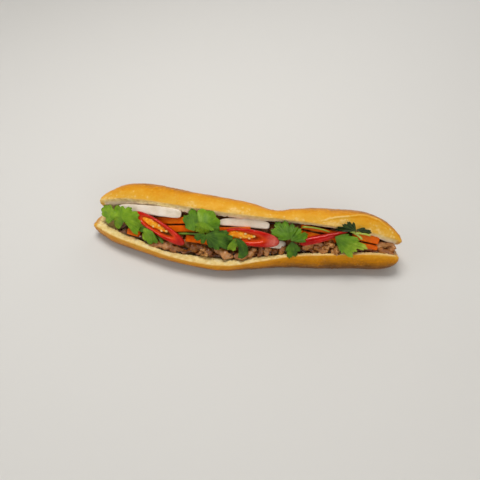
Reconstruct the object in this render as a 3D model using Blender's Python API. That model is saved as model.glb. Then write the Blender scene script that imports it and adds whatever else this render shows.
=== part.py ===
"""Banh mi sandwich: a long roll, slit along one side and opened like a book, filled with grilled pork,
pickled daikon and carrot, red chilli and coriander. Lengths are in millimetres until a mesh is made.

Axes: X along the roll, Y from the open side to the back, Z up. The filling is laid out in the mouth's own
frame: along the roll, across the mouth from the lower rim to the lid, and out of the mouth."""

import math

import bmesh
import bpy
import numpy as np
from mathutils import Matrix

MM = 0.001
GAP = 0.4  # clearance between solids that touch

# ---- the roll ----
MOUTH_TILT = math.radians(50)  # the mouth faces this far above the horizontal
MOUTH_MIDDLE = (0.0, 28.0)  # depth and height of the mouth frame's origin

# Guide rails (along, depth, height) of the full section; the rounded noses taper inside their last stretch.
RIM_RAIL = ((-150, -3, 18), (-126, -13, 18.5), (-98, -21, 18.5), (-68, -28.5, 18), (-38, -32, 17),
            (-8, -31.5, 18), (22, -24, 21), (52, -17.5, 26), (85, -12.5, 27), (118, -7, 27), (149, -4, 26))
LIP_RAIL = ((-143, 12.5, 41), (-120, 13.5, 44.5), (-95, 12.5, 46.5), (-66, 8.5, 49), (-36, 5, 51),
            (-6, 4.5, 50), (26, 6, 48), (56, 5.5, 48), (88, 4.5, 47), (118, 4.5, 44), (148, 5, 37))
HINGE_RAIL = ((-150, 16, 14), (-120, 23, 13), (-90, 26, 12), (-45, 22, 11), (0, 20.5, 10), (28, 18, 10),
              (60, 22, 10), (105, 26, 10), (149, 20, 13))

TRAY_DEPTH = ((-150, 18), (-95, 18), (-38, 15.5), (22, 18), (60, 21.5), (118, 22.5), (149, 20))
LID_DEPTH = ((-143, 18), (-122, 21.5), (-95, 22.5), (-60, 21), (-20, 19.5), (8, 17.5), (29, 12.5), (46, 16.5),
             (72, 20), (110, 21), (132, 18.5), (148, 13))
# Width of the cut face along each edge.
RIM_FACE = ((-150, 10), (-110, 9), (-72, 6), (-38, 9), (0, 9), (30, 7), (60, 5), (149, 5))
LIP_FACE = ((-143, 11), (-110, 11), (-80, 8.5), (-50, 7), (148, 6))

HINGE_BAND = 8.0  # bread left uncut behind the slit
CRUMB_THICKNESS = 8.0  # bread left under the trough once the filling is pressed in
CRUST_FULLNESS = 3.0  # superellipse exponent of the crust's outline
TROUGH_FULLNESS = 2.2

NOSES = {  # half: (left tip, right tip), each (along, depth, height), and the length that rounds off
    "tray": (((-151, -1, 14), 42), ((148.5, -3, 21), 22)),
    "lid": (((-143, 12.5, 37), 38), ((148, 4.5, 34), 34)),
}

NOSE_FULLNESS = 2.5
NOSE_RINGS = 6
BODY_RINGS = 30
OUTER_POINTS = 13
TROUGH_POINTS = 9


def along_rail(rail, x):
    """Values of a rail at x, by a Catmull-Rom curve through its stations."""
    stations = np.array(rail, float)
    xs = stations[:, 0]
    i = int(np.clip(np.searchsorted(xs, x) - 1, 0, len(xs) - 2))
    t = float(np.clip((x - xs[i]) / (xs[i + 1] - xs[i]), 0, 1))
    p1, p2 = stations[i, 1:], stations[i + 1, 1:]
    span = xs[i + 1] - xs[i]
    m1 = (p2 - stations[max(i - 1, 0), 1:]) / (xs[i + 1] - xs[max(i - 1, 0)]) * span
    last = min(i + 2, len(xs) - 1)
    m2 = (stations[last, 1:] - p1) / (xs[last] - xs[i]) * span
    value = (
        (2 * t**3 - 3 * t**2 + 1) * p1
        + (t**3 - 2 * t**2 + t) * m1
        + (3 * t**2 - 2 * t**3) * p2
        + (t**3 - t**2) * m2
    )
    return value if len(value) > 1 else float(value[0])


def superellipse(start, end, depth, fullness, count):
    """(along the cut, below the cut) from start to end, bulging to depth."""
    middle, half = (start + end) / 2, (end - start) / 2
    points = []
    for angle in np.linspace(math.pi, 0, count):
        c, s = math.cos(angle), math.sin(angle)
        run = math.copysign(abs(c) ** (2 / fullness), c)
        points.append((middle + half * run, depth * abs(s) ** (2 / fullness)))
    return points


def half_section(x, edge_rail, depth_rail, face_rail, side):
    """Outer and trough outlines (depth, height) of one half at x, from its edge to its hinge.

    side is 1 below the cut and -1 above it.
    """
    edge, hinge = along_rail(edge_rail, x), along_rail(HINGE_RAIL, x)
    if side < 0:
        hinge = hinge + np.array([0.6, -0.8])  # the lid's slit ends inside the tray's bread, not on its edge
    run = hinge - edge
    width = float(np.hypot(*run))
    run = run / width
    below = np.array([run[1], -run[0]]) * side
    depth = along_rail(depth_rail, x)
    face = along_rail(face_rail, x)
    outer = superellipse(0, width + HINGE_BAND, depth, CRUST_FULLNESS, OUTER_POINTS)
    trough = superellipse(face, width, depth - CRUMB_THICKNESS, TROUGH_FULLNESS, TROUGH_POINTS)

    def placed(points):
        return np.array([edge + run * u + below * v for u, v in points])

    return placed(outer), placed(trough)


def half_stations(half):
    """Each ring of a half: its place along the roll, how far it is open (1 is fully) and its tip."""
    (left, left_length), (right, right_length) = NOSES[half]
    body = np.linspace(left[0] + left_length, right[0] - right_length, BODY_RINGS)
    turns = [math.radians(84) * (i + 1) / NOSE_RINGS for i in range(NOSE_RINGS)]
    power = 2 / NOSE_FULLNESS

    def nose(tip, length):
        return [(tip[0] + length * (math.sin(a) ** power - 1), math.cos(a) ** power, tip) for a in turns]

    left_nose = nose(left, -left_length)[::-1]
    return left_nose + [(x, 1.0, left) for x in body] + nose(right, right_length)


HALVES = {
    "tray": (RIM_RAIL, TRAY_DEPTH, RIM_FACE, 1),
    "lid": (LIP_RAIL, LID_DEPTH, LIP_FACE, -1),
}


def roll_half(half, x, scale, tip):
    """Outer and trough outlines of a half at x, closed towards its tips and flattened on the table."""
    outer, trough = half_section(x, *HALVES[half])
    centre = np.array(tip[1:], float)
    outer, trough = (centre + (points - centre) * scale for points in (outer, trough))
    outer[:, 1] = np.maximum(outer[:, 1], 0.0)
    return outer, trough


# ---- mesh helpers ----
def new_object(name, vertices, faces, colour, roughness=0.5, smooth=True):
    """A mesh object from millimetre vertices, with its own material."""
    mesh = bpy.data.meshes.new(name)
    mesh.from_pydata([tuple(float(c) * MM for c in v) for v in vertices], [], faces)
    shaped = bmesh.new()
    shaped.from_mesh(mesh)
    bmesh.ops.recalc_face_normals(shaped, faces=shaped.faces)
    shaped.to_mesh(mesh)
    shaped.free()
    obj = bpy.data.objects.new(name, mesh)
    bpy.context.scene.collection.objects.link(obj)
    if smooth:
        mesh.shade_smooth()
        mesh.set_sharp_from_angle(angle=math.radians(50))
    mesh.materials.append(material(name, colour, roughness))
    return obj


def material(name, colour, roughness):
    made = bpy.data.materials.new(name)
    made.use_nodes = True
    shader = made.node_tree.nodes["Principled BSDF"]
    shader.inputs["Base Color"].default_value = (*colour, 1)
    shader.inputs["Roughness"].default_value = roughness
    return made


def loft(rings, start_pole, end_pole):
    """Vertices and faces of a closed skin over equal rings, shut by a pole at each end."""
    count = len(rings[0])
    vertices = [tuple(p) for ring in rings for p in ring] + [tuple(start_pole), tuple(end_pole)]
    faces = []
    for r in range(len(rings) - 1):
        for i in range(count):
            j = (i + 1) % count
            faces.append((r * count + i, r * count + j, (r + 1) * count + j, (r + 1) * count + i))
    first, last = len(rings) * count, len(rings) * count + 1
    end = (len(rings) - 1) * count
    for i in range(count):
        j = (i + 1) % count
        faces.append((first, j, i))
        faces.append((last, end + i, end + j))
    return vertices, faces


def in_mouth(along, across, out):
    """World point of a place in the mouth's frame."""
    depth = MOUTH_MIDDLE[0] + across * math.sin(MOUTH_TILT) - out * math.cos(MOUTH_TILT)
    height = MOUTH_MIDDLE[1] + across * math.cos(MOUTH_TILT) + out * math.sin(MOUTH_TILT)
    return (along, depth, height)


def along_roll(x, across, rise):
    """World point over the mouth: rise is measured from the surface that spans the rim and the lip at x."""
    rim_across, rim_out = mouth_place(along_rail(RIM_RAIL, x))
    lip_across, lip_out = mouth_place(along_rail(LIP_RAIL, x))
    share = (across - rim_across) / (lip_across - rim_across)
    return np.array(in_mouth(x, across, rim_out + (lip_out - rim_out) * share + rise))


def mouth_place(point):
    """(across, out) of a (depth, height) pair."""
    depth, height = point[0] - MOUTH_MIDDLE[0], point[1] - MOUTH_MIDDLE[1]
    across = depth * math.sin(MOUTH_TILT) + height * math.cos(MOUTH_TILT)
    out = -depth * math.cos(MOUTH_TILT) + height * math.sin(MOUTH_TILT)
    return across, out


OUT_OF_MOUTH = np.array([0.0, -math.cos(MOUTH_TILT), math.sin(MOUTH_TILT)])


def piece_axes(start, end, roll=0.0):
    """Length and axes (lengthways, sideways, outwards) of a piece from start to end, after its roll."""
    lengthways = end - start
    length = float(np.linalg.norm(lengthways))
    lengthways = lengthways / length
    outwards = OUT_OF_MOUTH - lengthways * float(OUT_OF_MOUTH @ lengthways)
    outwards = outwards / np.linalg.norm(outwards)
    sideways = np.cross(outwards, lengthways)
    c, s = math.cos(math.radians(roll)), math.sin(math.radians(roll))
    return length, lengthways, sideways * c + outwards * s, outwards * c - sideways * s


# ---- bread ----
def half_roll_object(half):
    rings = []
    for x, scale, tip in half_stations(half):
        outer, trough = roll_half(half, x, scale, tip)
        rings.append([(x, y, z) for y, z in np.vstack([outer, trough[::-1]])])
    (left, _), (right, _) = NOSES[half]
    vertices, faces = loft(rings, left, right)
    return new_object(half, vertices, faces, (0.72, 0.42, 0.13), 0.55)


def make_bread():
    """Tray and lid, one piece of bread: the lid's back edge runs into the tray's along the hinge."""
    bread = half_roll_object("tray")
    lid = half_roll_object("lid")
    union = bread.modifiers.new("hinge", "BOOLEAN")
    union.operation = "UNION"
    union.solver = "EXACT"
    union.object = lid
    bpy.context.view_layer.update()
    joined = bpy.data.meshes.new_from_object(bread.evaluated_get(bpy.context.evaluated_depsgraph_get()))
    bread.modifiers.clear()
    bread.data = joined
    bread.name = "bread"
    joined.name = "bread"
    bpy.data.objects.remove(lid)
    return bread


# ---- filling ----
HEAP_SIDE = 7  # points down each side of the pork heap
HEAP_TOP = 8
HEAP_ENDS = (-126.0, 141.0)
HEAP_RINGS = 29
HEAP_SAG = 15.5  # middle of the heap below the mouth's surface
HEAP_LUMPS = 1.2


def inset(points, gap):
    """An open outline moved to its left by gap."""
    steps = np.gradient(points, axis=0)
    steps = steps / np.linalg.norm(steps, axis=1)[:, None]
    return points + np.stack([-steps[:, 1], steps[:, 0]], 1) * gap


def resample(points, start, end, count):
    """Evenly spaced points on a polyline between two fractions of its length."""
    reach = np.concatenate([[0], np.cumsum(np.linalg.norm(np.diff(points, axis=0), axis=1))])
    wanted = np.linspace(start, end, count) * reach[-1]
    return np.stack([np.interp(wanted, reach, points[:, i]) for i in range(2)], 1)


def heap_section(x):
    """Outline (depth, height) of the pork at x: down the tray, up the lid and over its own uneven top."""
    tray = half_section(x, *HALVES["tray"])[1]
    lid = half_section(x, *HALVES["lid"])[1]
    down = resample(inset(tray, 1.2), 0.06, 0.82, HEAP_SIDE)
    up = resample(inset(lid, -1.3), 0.15, 0.70, HEAP_SIDE)[::-1]
    front, back = down[0], up[-1]
    middle = along_roll(x, (mouth_place(front)[0] + mouth_place(back)[0]) / 2, -HEAP_SAG)[1:]
    control = 2 * middle - (front + back) / 2
    top = []
    for i in range(1, HEAP_TOP + 1):
        t = 1 - i / (HEAP_TOP + 1)
        lump = math.sin(x * 0.31 + 5 * t) + math.sin(x * 0.17 - 7.3 * t + 1) * 0.7
        point = (1 - t) ** 2 * front + 2 * t * (1 - t) * control + t**2 * back
        top.append(point + OUT_OF_MOUTH[1:] * HEAP_LUMPS * lump * math.sin(math.pi * t))
    return np.vstack([down, up, top])


def make_pork():
    rings = []
    left, right = HEAP_ENDS
    tips = []
    for i in range(HEAP_RINGS):
        x = left + (right - left) * i / (HEAP_RINGS - 1)
        section = heap_section(x)
        centre = section.mean(axis=0)
        reach = min(x - left, right - x) / 26
        scale = 1.0 if reach >= 1 else 0.35 + 0.65 * math.sqrt(1 - (1 - reach) ** 2)
        rings.append([(x, y, z) for y, z in centre + (section - centre) * scale])
        tips.append((x, *centre))
    first = (left - 2.0, *tips[0][1:])
    last = (right + 2.0, *tips[-1][1:])
    vertices, faces = loft(rings, first, last)
    return new_object("pork_filling", vertices, faces, (0.30, 0.13, 0.05), 0.45)


def strip(name, start, end, widths, thickness, colour, bow=0.0, blunt=8.0, rings=5, roughness=0.35):
    """A cut stick or slice between two places over the mouth; bow bends it across, blunt squares its ends."""
    start, end = along_roll(*start), along_roll(*end)
    length, lengthways, sideways, outwards = piece_axes(start, end)
    skin = []
    for i in range(rings + 2):
        s = 0.5 - 0.5 * math.cos(math.pi * (i + 0.35) / (rings + 1.7))
        closing = (1 - abs(2 * s - 1) ** blunt) ** (1 / blunt)
        width = (widths[0] + (widths[1] - widths[0]) * s) * closing / 2
        height = thickness / 2 * (1 - 0.3 * abs(2 * s - 1) ** 12)
        middle = start + lengthways * length * s + sideways * bow * 4 * s * (1 - s)
        corner = min(0.9, thickness * 0.22)
        section = ((-width, -height + corner), (-width + corner, -height), (width - corner, -height),
                   (width, -height + corner), (width, height - corner), (width - corner, height),
                   (-width + corner, height), (-width, height - corner))
        skin.append([middle + sideways * a + outwards * b for a, b in section])
    vertices, faces = loft(skin, np.mean(skin[0], axis=0), np.mean(skin[-1], axis=0))
    return new_object(name, vertices, faces, colour, roughness)


# Shares of the slice's radius and thickness, from its underside to the floor of its hollow.
CHILI_PROFILE = ((0.84, -0.50), (1.0, -0.10), (0.94, 0.40), (0.72, 0.50), (0.60, 0.06))
CHILI_AROUND = 24


def chili_slice(name, start, end, width, thickness, roll=0.0):
    """A chilli cut on the slant: an oval ring of flesh with a sunken, seedy middle."""
    start, end = along_roll(*start), along_roll(*end)
    length, lengthways, sideways, outwards = piece_axes(start, end, roll)
    centre = (start + end) / 2
    rings = []
    for radius, height in CHILI_PROFILE:
        ring = []
        for k in range(CHILI_AROUND):
            turn = 2 * math.pi * k / CHILI_AROUND
            along, side = math.cos(turn) * length / 2, math.sin(turn) * width / 2
            shrink = (1 - radius) * width / 2
            scale = np.array([1 - shrink / (length / 2), 1 - shrink / (width / 2)])
            ring.append(centre + lengthways * along * scale[0] + sideways * side * scale[1]
                        + outwards * height * thickness)
        rings.append(ring)
    vertices, faces = loft(rings, centre - outwards * thickness * 0.5, centre + outwards * thickness * 0.12)
    return new_object(name, vertices, faces, (0.55, 0.010, 0.012), 0.22)


LEAF_AROUND = 24
LEAF_THICKNESS = 0.9


def leaf(name, base, heading, length, half_width, rise=0.0, droop=0.0, cup=0.0, lobes=1.5,
         colour=(0.06, 0.20, 0.015)):
    """A coriander leaf fanning out from its stalk over the mouth; heading is its direction in degrees."""
    x, across, height = base
    c, s = math.cos(math.radians(heading)), math.sin(math.radians(heading))
    middle = 0.48 * length

    def at(u, v, thickness):
        lift = height + rise * u / length - droop * (u / length) ** 2 + cup * (v / half_width) ** 2
        return along_roll(x + u * c - v * s, across + u * s + v * c, lift - thickness)

    def outline(turn):
        front = length - middle if math.cos(turn) > 0 else middle
        reach = 1 / math.hypot(math.cos(turn) / front, math.sin(turn) / half_width)
        return reach * (0.80 + 0.20 * abs(math.cos(lobes * turn)) ** 0.8) * (1 + 0.05 * math.cos(11 * turn))

    rings = []
    turns = [2 * math.pi * k / LEAF_AROUND for k in range(LEAF_AROUND)]
    for share, thickness in ((0.6, LEAF_THICKNESS), (1.0, LEAF_THICKNESS / 2), (0.6, 0)):
        reaches = [outline(t) * share for t in turns]
        rings.append([at(middle + reach * math.cos(t), reach * math.sin(t), thickness)
                      for t, reach in zip(turns, reaches)])
    vertices, faces = loft(rings, at(middle, 0, LEAF_THICKNESS), at(middle, 0, 0))
    return new_object(name, vertices, faces, colour, 0.45)


def stem(name, start, end, radius, bow=0.0, colour=(0.16, 0.30, 0.04)):
    """A herb stalk between two places over the mouth."""
    start, end = along_roll(*start), along_roll(*end)
    length, lengthways, sideways, outwards = piece_axes(start, end)
    rings = []
    for i in range(6):
        s = i / 5
        middle = start + lengthways * length * s + sideways * bow * 4 * s * (1 - s)
        thick = radius * (0.55 if i in (0, 5) else 1 - 0.2 * s)
        rings.append([middle + thick * (sideways * math.cos(t) + outwards * math.sin(t))
                      for t in (2 * math.pi * k / 6 for k in range(6))])
    vertices, faces = loft(rings, start - lengthways * 0.3, end + lengthways * 0.3)
    return new_object(name, vertices, faces, colour, 0.4)


CARROT = (0.80, 0.17, 0.008)
DAIKON = (0.72, 0.70, 0.60)
DARK_LEAF = (0.03, 0.11, 0.012)
PALE_LEAF = (0.12, 0.30, 0.03)

CARROTS = (  # start and end (along, across, rise), width across, thickness
    ((-86, 3.5, -8.7), (-46, 8.0, -8.7), 6.5, 5.5),
    ((-74, -4.0, -8.7), (-44, 0.0, -8.7), 6.5, 5.5),
    ((-112, -9.5, -5.0), (-99.5, -11.3, -5.0), 6.0, 5.0),
    ((-53, -10.0, -6.5), (-30, -11.0, -6.5), 6.5, 5.0),
    ((-23, 1.5, -3.3), (8, 5.4, -3.3), 4.6, 3.2),
    ((54, 13.0, -6.5), (98, 8.5, -6.5), 4.0, 4.5),
    ((54, 7.0, -7.6), (92, 3.0, -7.6), 5.5, 4.5),
    ((102, 9.8, -5.0), (127, 7.0, -5.0), 7.0, 5.5),
    ((101, 3.4, -5.5), (127, 0.5, -5.5), 4.8, 5.5),
)

DAIKONS = (  # start and end (along, across, rise), the two widths, thickness, bow, bluntness of the ends
    ((-122, 11.8, -4.2), (-59, 12.4, -4.2), (6.0, 9.0), 2.8, 0.8, 4.0),
    ((-22, 8.0, -6.6), (25, 10.2, -6.6), (5.5, 8.8), 2.8, 1.4, 3.0),
    ((22, -6.5, -8.0), (46, -5.5, -8.0), (8.0, 6.5), 2.8, 0.0, 4.0),
)

CHILIES = (  # start and end (along, across, rise), width, thickness, roll
    ((-105.5, 9.0, 0.6), (-52.5, -15.5, 0.6), 15.0, 4.2, 0.0),
    ((-17, -0.8, 0.9), (36, -4.0, 0.9), 15.5, 4.2, 0.0),
    ((54, -4.5, 0.6), (98, 12.5, 0.6), 10.0, 6.0, 55.0),
)

LEAVES = (  # base (along, across, rise), heading, length, half width, then the shape's own settings
    ((-123, 1, 0.2), 172, 19, 9.5, dict(rise=0.5, droop=1.8, cup=-1.0, colour=PALE_LEAF)),
    ((-112, 6, 2.8), 214, 24, 10.0, dict(rise=0.5, droop=1.2, cup=-0.8)),
    ((-99, -4, 5.6), 122, 22, 10.0, dict(rise=0.5, droop=1.0, cup=-0.6)),
    ((-88, -9.5, -2.7), 146, 19, 5.4, dict(rise=0.3, droop=0.2)),
    ((-83, -11, 5.0), 190, 15, 6.5, dict(rise=1.5, droop=3.0, cup=-1.5, colour=PALE_LEAF)),
    ((-42, -1, 3.6), 122, 23, 8.5, dict(rise=0.6, droop=0.8, cup=-0.8)),
    ((-31, -6, 6.2), 88, 26, 11.5, dict(rise=0.5, droop=1.2, cup=-0.8, colour=PALE_LEAF)),
    ((-43, -6, 4.2), -5, 36, 9.5, dict(rise=0.2, droop=0.2, cup=-0.3, colour=DARK_LEAF)),
    ((-14, 0, 6.4), -65, 17, 4.0, dict(rise=0.0, droop=0.8, colour=DARK_LEAF)),
    ((-3, -6, 4.4), -52, 19, 4.6, dict(rise=0.6, droop=0.6)),
    ((49, 2, 4.2), 158, 25, 9.0, dict(rise=0.5, droop=1.0, cup=-0.8)),
    ((46, -1, 6.0), 36, 20, 8.0, dict(rise=0.5, droop=1.2, cup=-0.8)),
    ((50, -2, 4.0), -95, 17, 6.5, dict(rise=0.5, droop=1.0, cup=-0.8)),
    ((104, 12, 4.6), 155, 20, 4.8, dict(rise=0.5, droop=0.5, colour=DARK_LEAF)),
    ((86, 9, 5.9), -49, 28, 9.0, dict(rise=0.2, droop=0.8, cup=-0.6)),
)

STEMS = (  # start and end (along, across, rise), radius, bow
    ((-60, -6.5, -3.6), (-34, -4.2, 0.2), 1.0, 0.4),
    ((-88, -4.5, -5.6), (-74, -17.0, -3.6), 1.5, 0.8),
    ((58, 12.6, -2.0), (81, 10.2, -2.0), 0.9, 0.3),
    ((96, 15.5, 1.6), (116, 9.5, 1.6), 0.9, 1.0),
)


def make_filling():
    make_pork()
    for i, (start, end, width, thickness) in enumerate(CARROTS, 1):
        strip(f"carrot_stick_{i}", start, end, (width, width * 0.94), thickness, CARROT)
    for i, (start, end, widths, thickness, bow, blunt) in enumerate(DAIKONS, 1):
        strip(f"daikon_slice_{i}", start, end, widths, thickness, DAIKON, bow=bow, blunt=blunt, rings=8)
    for i, (start, end, width, thickness, roll) in enumerate(CHILIES, 1):
        chili_slice(f"chili_slice_{i}", start, end, width, thickness, roll)
    for i, (base, heading, length, half_width, shape) in enumerate(LEAVES, 1):
        leaf(f"coriander_leaf_{i}", base, heading, length, half_width, **shape)
    for i, (start, end, radius, bow) in enumerate(STEMS, 1):
        stem(f"coriander_stem_{i}", start, end, radius, bow)


def stand_on_origin():
    """Move the whole sandwich so that the middle of its underside is the origin."""
    corners = [v.co for obj in bpy.data.objects for v in obj.data.vertices]
    low = [min(c[i] for c in corners) for i in range(3)]
    high = [max(c[i] for c in corners) for i in range(3)]
    shift = Matrix.Translation((-(low[0] + high[0]) / 2, -(low[1] + high[1]) / 2, -low[2]))
    for obj in bpy.data.objects:
        obj.data.transform(shift)


def clear_scene():
    for obj in list(bpy.data.objects):
        bpy.data.objects.remove(obj, do_unlink=True)


def main():
    clear_scene()
    make_bread()
    make_filling()
    stand_on_origin()


main()
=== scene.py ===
import math
import bmesh
import bpy
import numpy as np
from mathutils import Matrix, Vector, noise
from mathutils.bvhtree import BVHTree


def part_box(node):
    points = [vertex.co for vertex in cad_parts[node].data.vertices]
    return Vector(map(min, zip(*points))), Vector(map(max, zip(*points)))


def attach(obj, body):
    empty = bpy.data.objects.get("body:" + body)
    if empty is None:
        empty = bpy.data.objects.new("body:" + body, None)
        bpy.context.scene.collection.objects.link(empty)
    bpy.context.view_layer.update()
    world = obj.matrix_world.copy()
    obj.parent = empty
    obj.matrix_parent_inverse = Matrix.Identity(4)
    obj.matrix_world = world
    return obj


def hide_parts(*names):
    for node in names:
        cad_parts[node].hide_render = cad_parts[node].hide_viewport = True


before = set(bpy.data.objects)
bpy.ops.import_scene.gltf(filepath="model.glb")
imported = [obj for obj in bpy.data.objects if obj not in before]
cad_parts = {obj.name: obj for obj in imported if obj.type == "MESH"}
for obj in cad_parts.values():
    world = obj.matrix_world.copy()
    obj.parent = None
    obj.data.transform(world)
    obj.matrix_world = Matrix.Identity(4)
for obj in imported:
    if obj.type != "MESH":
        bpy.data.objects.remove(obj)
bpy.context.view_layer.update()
mm = 0.001
print("frame loaded:", len(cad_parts), "nodes")

# the roll's guide rails in mm, (along, depth, height), the same sizes as the solids have
roll = {
    "rim": ((-150, -3, 18), (-126, -13, 18.5), (-98, -21, 18.5), (-68, -28.5, 18), (-38, -32, 17),
            (-8, -31.5, 18), (22, -24, 21), (52, -17.5, 26), (85, -12.5, 27), (118, -7, 27), (149, -4, 26)),
    "lip": ((-143, 12.5, 41), (-120, 13.5, 44.5), (-95, 12.5, 46.5), (-66, 8.5, 49), (-36, 5, 51),
            (-6, 4.5, 50), (26, 6, 48), (56, 5.5, 48), (88, 4.5, 47), (118, 4.5, 44), (148, 5, 37)),
    "hinge": ((-150, 16, 14), (-120, 23, 13), (-90, 26, 12), (-45, 22, 11), (0, 20.5, 10), (28, 18, 10),
              (60, 22, 10), (105, 26, 10), (149, 20, 13)),
    "trayDepth": ((-150, 18), (-95, 18), (-38, 15.5), (22, 18), (60, 21.5), (118, 22.5), (149, 20)),
    "lidDepth": ((-143, 18), (-122, 21.5), (-95, 22.5), (-60, 21), (-20, 19.5), (8, 17.5), (29, 12.5),
                 (46, 16.5), (72, 20), (110, 21), (132, 18.5), (148, 13)),
    "rimFace": ((-150, 10), (-110, 9), (-72, 6), (-38, 9), (0, 9), (30, 7), (60, 5), (149, 5)),
    "lipFace": ((-143, 11), (-110, 11), (-80, 8.5), (-50, 7), (148, 6)),
    "lipBulge": ((-150, 1.0), (-132, 3.0), (-95, 3.4), (-60, 3.0), (-40, 2.4), (0, 2.4), (30, 1.2), (90, 1.0),
                 (118, 2.8), (132, 5.0), (148, 4.0)),
    "trayTips": (((-151, 1.0, 14.5), 29), ((148.5, -3, 20), 20)),  # left and right: a tip, its nose's length
    "lidTips": (((-143, 12.5, 37.5), 33), ((148, 4.5, 34), 32)),
    "lidGap": (0.6, -0.8), "hingeBand": 8.0, "crumbThickness": 8.0, "troughRamp": 34.0, "widestFace": 0.8,
    "bulgeStart": 2.5, "bulgeMiddle": 9.0, "bulgeWidth": 6.0,
    "crustFullness": 3.0, "troughFullness": 2.2, "noseFullness": 2.5, "noseTurn": 86.0,
    "mouthTilt": 50.0, "mouthHeight": 28.0,
    "rings": 170, "noseRings": 16, "crustPlaces": 46, "troughPlaces": 28, "facePlaces": {"tray": 7, "lid": 9},
}


def railAt(rail, x):
    # smooth curve through the stations of a rail, for one place or many
    stations = np.array(rail, float)
    xs, values = stations[:, 0], stations[:, 1:]
    x = np.atleast_1d(np.asarray(x, float))
    i = np.clip(np.searchsorted(xs, x) - 1, 0, len(xs) - 2)
    before, after = np.maximum(i - 1, 0), np.minimum(i + 2, len(xs) - 1)
    step = (xs[i + 1] - xs[i])[:, None]
    t = np.clip((x - xs[i]) / step[:, 0], 0, 1)[:, None]
    slopeIn = (values[i + 1] - values[before]) / (xs[i + 1] - xs[before])[:, None] * step
    slopeOut = (values[after] - values[i]) / (xs[after] - xs[i])[:, None] * step
    return ((2 * t**3 - 3 * t**2 + 1) * values[i] + (t**3 - 2 * t**2 + t) * slopeIn
            + (3 * t**2 - 2 * t**3) * values[i + 1] + (t**3 - t**2) * slopeOut)


def valueAt(rail, x):
    return float(railAt(rail, x)[0, 0])


def clamp(value):
    return min(max(value, 0.0), 1.0)


def ease(value):
    # held between 0 and 1, with soft ends
    share = clamp(value)
    return share * share * (3 - 2 * share)


def hump(value, middle, width):
    return math.exp(-((value - middle) / width) ** 2)


def boxy(wave, fullness):
    # a sine or cosine whose circle fills out towards a square
    return np.sign(wave) * np.abs(wave) ** (2 / fullness)


def fractal(point, size, octaves=3):
    p = Vector(point) / size
    total, weight = 0.0, 1.0
    for _ in range(octaves):
        total += noise.noise(p) * weight
        p, weight = p * 2.1, weight * 0.5
    return total


tilt = math.radians(roll["mouthTilt"])
outOfMouth = np.array([0, -math.cos(tilt), math.sin(tilt)])
acrossMouth = np.array([0, math.sin(tilt), math.cos(tilt)])


def inMouth(points):
    # (across, out) of (depth, height) pairs
    depth, height = points[..., 0], points[..., 1] - roll["mouthHeight"]
    across, out = math.sin(tilt), math.cos(tilt)
    return depth * across + height * out, -depth * out + height * across


def over(x, across, rise):
    # places over the mouth: rise is measured from the surface that spans the rim and the lip
    x, across, rise = np.broadcast_arrays(*(np.asarray(value, float) for value in (x, across, rise)))
    flat, a = x.ravel(), across.ravel()
    rimAcross, rimOut = inMouth(railAt(roll["rim"], flat))
    lipAcross, lipOut = inMouth(railAt(roll["lip"], flat))
    out = rimOut + (lipOut - rimOut) * (a - rimAcross) / (lipAcross - rimAcross) + rise.ravel()
    points = np.zeros((len(flat), 3))
    points[:, 0] = flat
    points[:, 2] = roll["mouthHeight"]
    points += a[:, None] * acrossMouth + out[:, None] * outOfMouth
    return points.reshape(x.shape + (3,))


def superellipse(start, end, depth, fullness, count):
    angle = np.linspace(math.pi, 0, count)
    c, s = np.cos(angle), np.maximum(np.sin(angle), 0)
    return (start + end) / 2 + (end - start) / 2 * boxy(c, fullness), depth * boxy(s, fullness)


def ringStations(left, leftLength, right, rightLength):
    # (along, scale, tip) of each ring: closely set round the noses and even between them
    power, steepest = 2 / roll["noseFullness"], roll["noseTurn"]
    turns = np.radians(np.linspace(steepest / roll["noseRings"], steepest, roll["noseRings"]))
    nose = [(math.sin(a) ** power, math.cos(a) ** power) for a in turns]
    stations = [(left[0] + leftLength * (1 - back), scale, left) for back, scale in nose[::-1]]
    middle = np.linspace(left[0] + leftLength, right[0] - rightLength, roll["rings"])
    stations += [(x, 1.0, left) for x in middle]
    return stations + [(right[0] + rightLength * (back - 1), scale, right) for back, scale in nose]


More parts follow.
